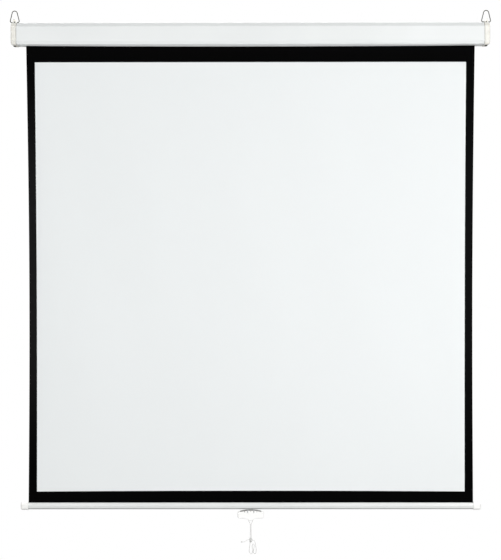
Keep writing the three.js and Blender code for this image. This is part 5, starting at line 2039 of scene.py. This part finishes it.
@dataclass
class BottomBar(Assembly):
    """Painted bar with a slot for the fabric, two caps and the bracket that carries the handle."""

    ribs: int = 24
    # The front, from its top edge down: how far in or up each corner lies, and its rounding.
    brow: float = 3.4
    brow_round: float = 4.0
    crown_rise: float = 13.0
    crown_round: float = 14.0
    chin: Point3 = (0.8, 4.8, 1.5)
    under: Point2 = (6.0, 2.0)
    slot: float = 2.4
    # The caps.
    cap_length: float = 27.0
    cap_proud: float = 1.8
    collar: float = 7.0
    collar_proud: float = 0.5
    cap_edge: float = 6.0
    cap_wall: float = 2.0
    collar_edge: float = 0.4
    plug: float = 15.0
    plug_past: float = 4.0
    # The holes in its floor for the ears that carry the handle.
    ear_depth: float = 7.0
    ear_cut: Point2 = (-1.0, 4.45)

    def build(self) -> None:
        """Builds the bar and its two caps, and finishes the bracket and pin."""
        self.tube()
        for side in Side:
            self.cap(side)
        self.refinish(ZINC, "handle_bracket", "handle_pin")

    def section(self) -> list[Corner]:
        """Gives the bar's outer corners, from its top front edge down and round to its top back.

        Returns:
            The corners as (y, z).
        """
        front, back = LAYOUT.sheet_y - LAYOUT.bar_depth / 2, LAYOUT.sheet_y + LAYOUT.bar_depth / 2
        top, foot = LAYOUT.bar_top, LAYOUT.bar_foot
        chin_in, chin_up, chin_round = self.chin
        under_in, under_round = self.under
        return [
            Corner(front + self.brow, top, self.brow_round),
            Corner(front, foot + self.crown_rise, self.crown_round),
            Corner(front + chin_in, foot + chin_up, chin_round),
            Corner(front + under_in, foot, under_round),
            Corner(back, foot, LAYOUT.bar_round),
            Corner(back, top, LAYOUT.bar_round),
        ]

    def tube(self) -> None:
        """Builds the bar: one strip folded to an oval with a crowned front, open along its top."""
        wall = LAYOUT.bar_wall
        middle = inset(self.section(), wall / 2)
        top, half = middle[0].b, (self.slot + wall) / 2
        start = Corner(LAYOUT.sheet_y - half, top)
        end = Corner(LAYOUT.sheet_y + half, top)
        outline = thickened(rounded([start, *middle, end], 12, closed=False), wall)
        stations = evenly(-LAYOUT.bar_half, LAYOUT.bar_half, self.ribs)
        piece = Blank().loft([[Vector((x, a, b)) for a, b in outline] for x in stations]).piece("painted_bar")
        reach, deep = LAYOUT.ear / 2 + LAYOUT.fit, self.ear_depth / 2 + LAYOUT.fit
        y = (LAYOUT.sheet_y - deep, LAYOUT.sheet_y + deep)
        z = about(LAYOUT.bar_foot, self.ear_cut)
        places = (-LAYOUT.ear_spacing / 2, LAYOUT.ear_spacing / 2)
        carved(piece, [Blank().block((x - reach, x + reach), y, z) for x in places])
        self.dress(smoothed(piece, 30.0), BAR_COAT, Body.BAR, ["bottom_bar"])

    def cap(self, side: Side) -> None:
        """Builds one cap: a rounded body with a collar, on a plug inside the bar.

        Args:
            side: The end that it closes.
        """
        inner = LAYOUT.bar_half + LAYOUT.fit
        body_corners = inset(LAYOUT.bar_corners(), -self.cap_proud)
        body = Blank().domed(body_corners, (inner, LAYOUT.bar_half + self.cap_length), self.cap_edge, side)
        piece = body.piece(f"bar_cap_moulding_{side.word}")
        collar_corners = inset(body_corners, -self.collar_proud)
        collar_ends, edge = (inner, LAYOUT.bar_half + self.collar), self.collar_edge
        collar = Blank().domed(collar_corners, collar_ends, edge, side, edge)
        plug_corners = inset(LAYOUT.bar_corners(), LAYOUT.bar_wall + LAYOUT.fit)
        plug_span = side.span(LAYOUT.bar_half - self.plug, LAYOUT.bar_half + self.plug_past)
        plug = Blank().along_x(rounded(plug_corners), *plug_span)
        hollow_span = side.span(LAYOUT.bar_half - self.plug - 1, LAYOUT.bar_half + self.collar)
        hollow = Blank().along_x(rounded(inset(plug_corners, self.cap_wall)), *hollow_span)
        carved(piece, [collar, plug], "UNION")
        carved(piece, [hollow])
        self.dress(smoothed(piece, 34.0), CAP_WHITE, Body.BAR, [f"bar_cap_{side.word}"])


@dataclass
class PullHandle(Assembly):
    """Moulded handle with an arched top and a bulged foot, open at the back for the fingers."""

    # The outline from the front, and its rounded edges.
    width: float = 94.0
    foot_depth: float = 11.0
    shoulder: float = 82.0
    arch: float = 6.0
    side_top: float = 3.5
    side_foot: float = 20.5
    foot: float = 24.5
    bulge: float = 8.0
    bulge_width: float = 44.0
    corner: float = 4.6
    edge: float = 4.4
    edge_depth: float = 6.4
    back_edge: float = 1.6
    crown_reach: float = 8.15
    # The rebate along the arched top, and the notches in it.
    rebate: float = 3.0
    rebate_half: float = 38.5
    rebate_wall: float = 2.4
    notch: float = 1.6
    notch_drop: float = 4.3
    notch_depth: float = 4.0
    # The hollow for the fingers, the pin, the slots for the ears and the cord's two holes.
    recess_width: float = 80.0
    recess_top: float = 8.0
    recess_foot: float = 21.0
    recess_round: float = 4.0
    front_wall: float = 3.2
    pin: float = 3.0
    pin_length: float = 36.0
    ear_reach: float = 4.95
    cord_hole: float = 3.0

    def arch_at(self, x: float) -> float:
        """Gives the height of the arched top over the pin, at a place across the handle."""
        return LAYOUT.handle_depth / 2 - self.arch * (2 * x / self.shoulder) ** 2

    def outline(self) -> list[Point2]:
        """Gives the handle's front outline.

        Returns:
            The outline as (x, z) points.
        """
        half, shoulder = self.width / 2, self.shoulder / 2
        shares = evenly(-1.0, 1.0, 24)
        arch = [
            Corner(s * shoulder, self.arch_at(s * shoulder), self.corner if abs(s) == 1 else 0.0)
            for s in shares
        ]
        swell = [
            Corner(-s * self.bulge_width / 2, -self.foot - self.bulge * (1 + math.cos(math.pi * s)) / 2)
            for s in shares
        ]
        right = [
            Corner(half, -self.side_top, self.corner),
            Corner(half, -self.side_foot, self.corner),
            Corner(shoulder, -self.foot, self.corner),
        ]
        left = [Corner(-c.a, c.b, c.radius) for c in reversed(right)]
        line = rounded([*arch, *right, *swell, *left])
        return [(a, b + LAYOUT.pin_z) for a, b in line]

    def profile(self) -> list[Point2]:
        """Gives the handle's side outline: round about the pin and slimmer at the foot.

        Returns:
            The outline as (y, z) points.
        """
        y, pin, half, radius = LAYOUT.sheet_y, LAYOUT.pin_z, LAYOUT.handle_depth / 2, self.crown_reach
        least = math.acos(half / radius)
        angles = [least + (math.pi - 2 * least) * k / 20 for k in range(21)]
        crown = [(y + radius * math.cos(t), pin + radius * math.sin(t)) for t in angles]
        foot, slim = pin - self.foot - self.bulge - self.edge, self.foot_depth / 2
        return [(y + half, pin), *crown, (y - half, pin), (y - slim, foot), (y + slim, foot)]

    def body(self, front: float, back: float) -> Blank:
        """Builds the handle's solid body, rounded towards its front and its back.

        Args:
            front: Where its front face lies.
            back: Where its back lies.

        Returns:
            The blank.
        """
        outline = self.outline()
        turns = [(1 - math.cos(angle), 1 - math.sin(angle)) for angle in (math.pi / 16 * k for k in range(9))]
        stations = [(front + self.edge_depth * deep, self.edge * drawn) for deep, drawn in turns]
        edge = self.back_edge
        stations += [(back - edge * deep, edge * drawn) for deep, drawn in reversed(turns)]
        rings = [[Vector((a, y, b)) for a, b in drawn_in(outline, drawn)] for y, drawn in stations]
        return Blank().loft(rings)

    def hinge_cuts(self, front: float, back: float) -> list[Blank]:
        """Builds the rebate along the arched top, where the handle turns under the bar, and its notches.

        Args:
            front: Where the handle's front face lies.
            back: Where its back lies.

        Returns:
            The blanks to cut away.
        """
        pin, half = LAYOUT.pin_z, self.rebate_half
        places = [half * share for share in evenly(-1.0, 1.0, 32)]
        floor = [(x, pin + self.arch_at(x) - self.rebate) for x in places]
        over = pin + LAYOUT.handle_depth
        rebate = [*floor, (half + 6, over), (-half - 6, over)]
        cuts = [Blank().along_y(rebate, front - 1, back - self.rebate_wall)]
        for x in (-LAYOUT.ear_spacing, 0.0, LAYOUT.ear_spacing):
            top = pin + self.arch_at(x) - self.rebate
            spans = ((x - self.notch / 2, x + self.notch / 2), (front - 1, front + self.notch_depth))
            cuts.append(Blank().block(*spans, (top - self.notch_drop, top + self.rebate)))
        return cuts

    def recess(self, front: float, back: float) -> Blank:
        """Builds the hollow for the fingers, open at the back.

        Args:
            front: Where the handle's front face lies.
            back: Where its back lies.

        Returns:
            The blank to cut away.
        """
        half, foot, top = self.recess_width / 2, -self.recess_foot, -self.recess_top
        spots = rectangle(-half, half, foot, top)
        corners = [Corner(a, LAYOUT.pin_z + b, self.recess_round) for a, b in spots]
        return Blank().along_y(rounded(corners), front + self.front_wall, back + 1)

    def build(self) -> None:
        """Builds the handle."""
        y, pin = LAYOUT.sheet_y, LAYOUT.pin_z
        front, back = y - LAYOUT.handle_depth / 2, y + LAYOUT.handle_depth / 2
        piece = self.body(front, back).piece("moulded_handle")
        carved(piece, [Blank().along_x(self.profile(), -self.width, self.width)], "INTERSECT")
        carved(piece, self.hinge_cuts(front, back))
        tools = [self.recess(front, back)]
        reach = LAYOUT.ear / 2 + LAYOUT.fit
        slot_z = (pin - self.ear_reach - LAYOUT.fit, pin + LAYOUT.handle_depth)
        for x in (-LAYOUT.ear_spacing / 2, LAYOUT.ear_spacing / 2):
            tools.append(Blank().block((x - reach, x + reach), (front - 1, back + 1), slot_z))
        long = self.pin_length / 2 + LAYOUT.fit
        tools.append(Blank().along_x(circle(self.pin + 2 * LAYOUT.fit, 20, y, pin), -long, long))
        foot, head = pin - self.foot - self.bulge - 1, pin - self.recess_foot + 1
        for x in (-LAYOUT.hole_spacing / 2, LAYOUT.hole_spacing / 2):
            tools.append(Blank().along_z(circle(self.cord_hole, 20, x, y), foot, head))
        carved(piece, tools)
        smoothed(softened(piece, 0.3, 55.0), 38.0)
        self.dress(piece, HANDLE_WHITE, Body.HANDLE, ["pull_handle"])


def main() -> None:
    """Builds the studio and the screen."""
    logging.basicConfig(level=logging.INFO, format="%(message)s")
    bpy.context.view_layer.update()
    studio = Studio()
    studio.camera()
    studio.floor()
    studio.light()
    ends = [kind(side=side) for kind in (EndCap, HangingBail) for side in Side]
    assemblies = [PullCord(), Housing(), *ends, SpringRoller(), ProjectionSheet(), BottomBar(), PullHandle()]
    for assembly in assemblies:
        assembly.build()
        assembly.report()


if __name__ == "__main__":
    main()
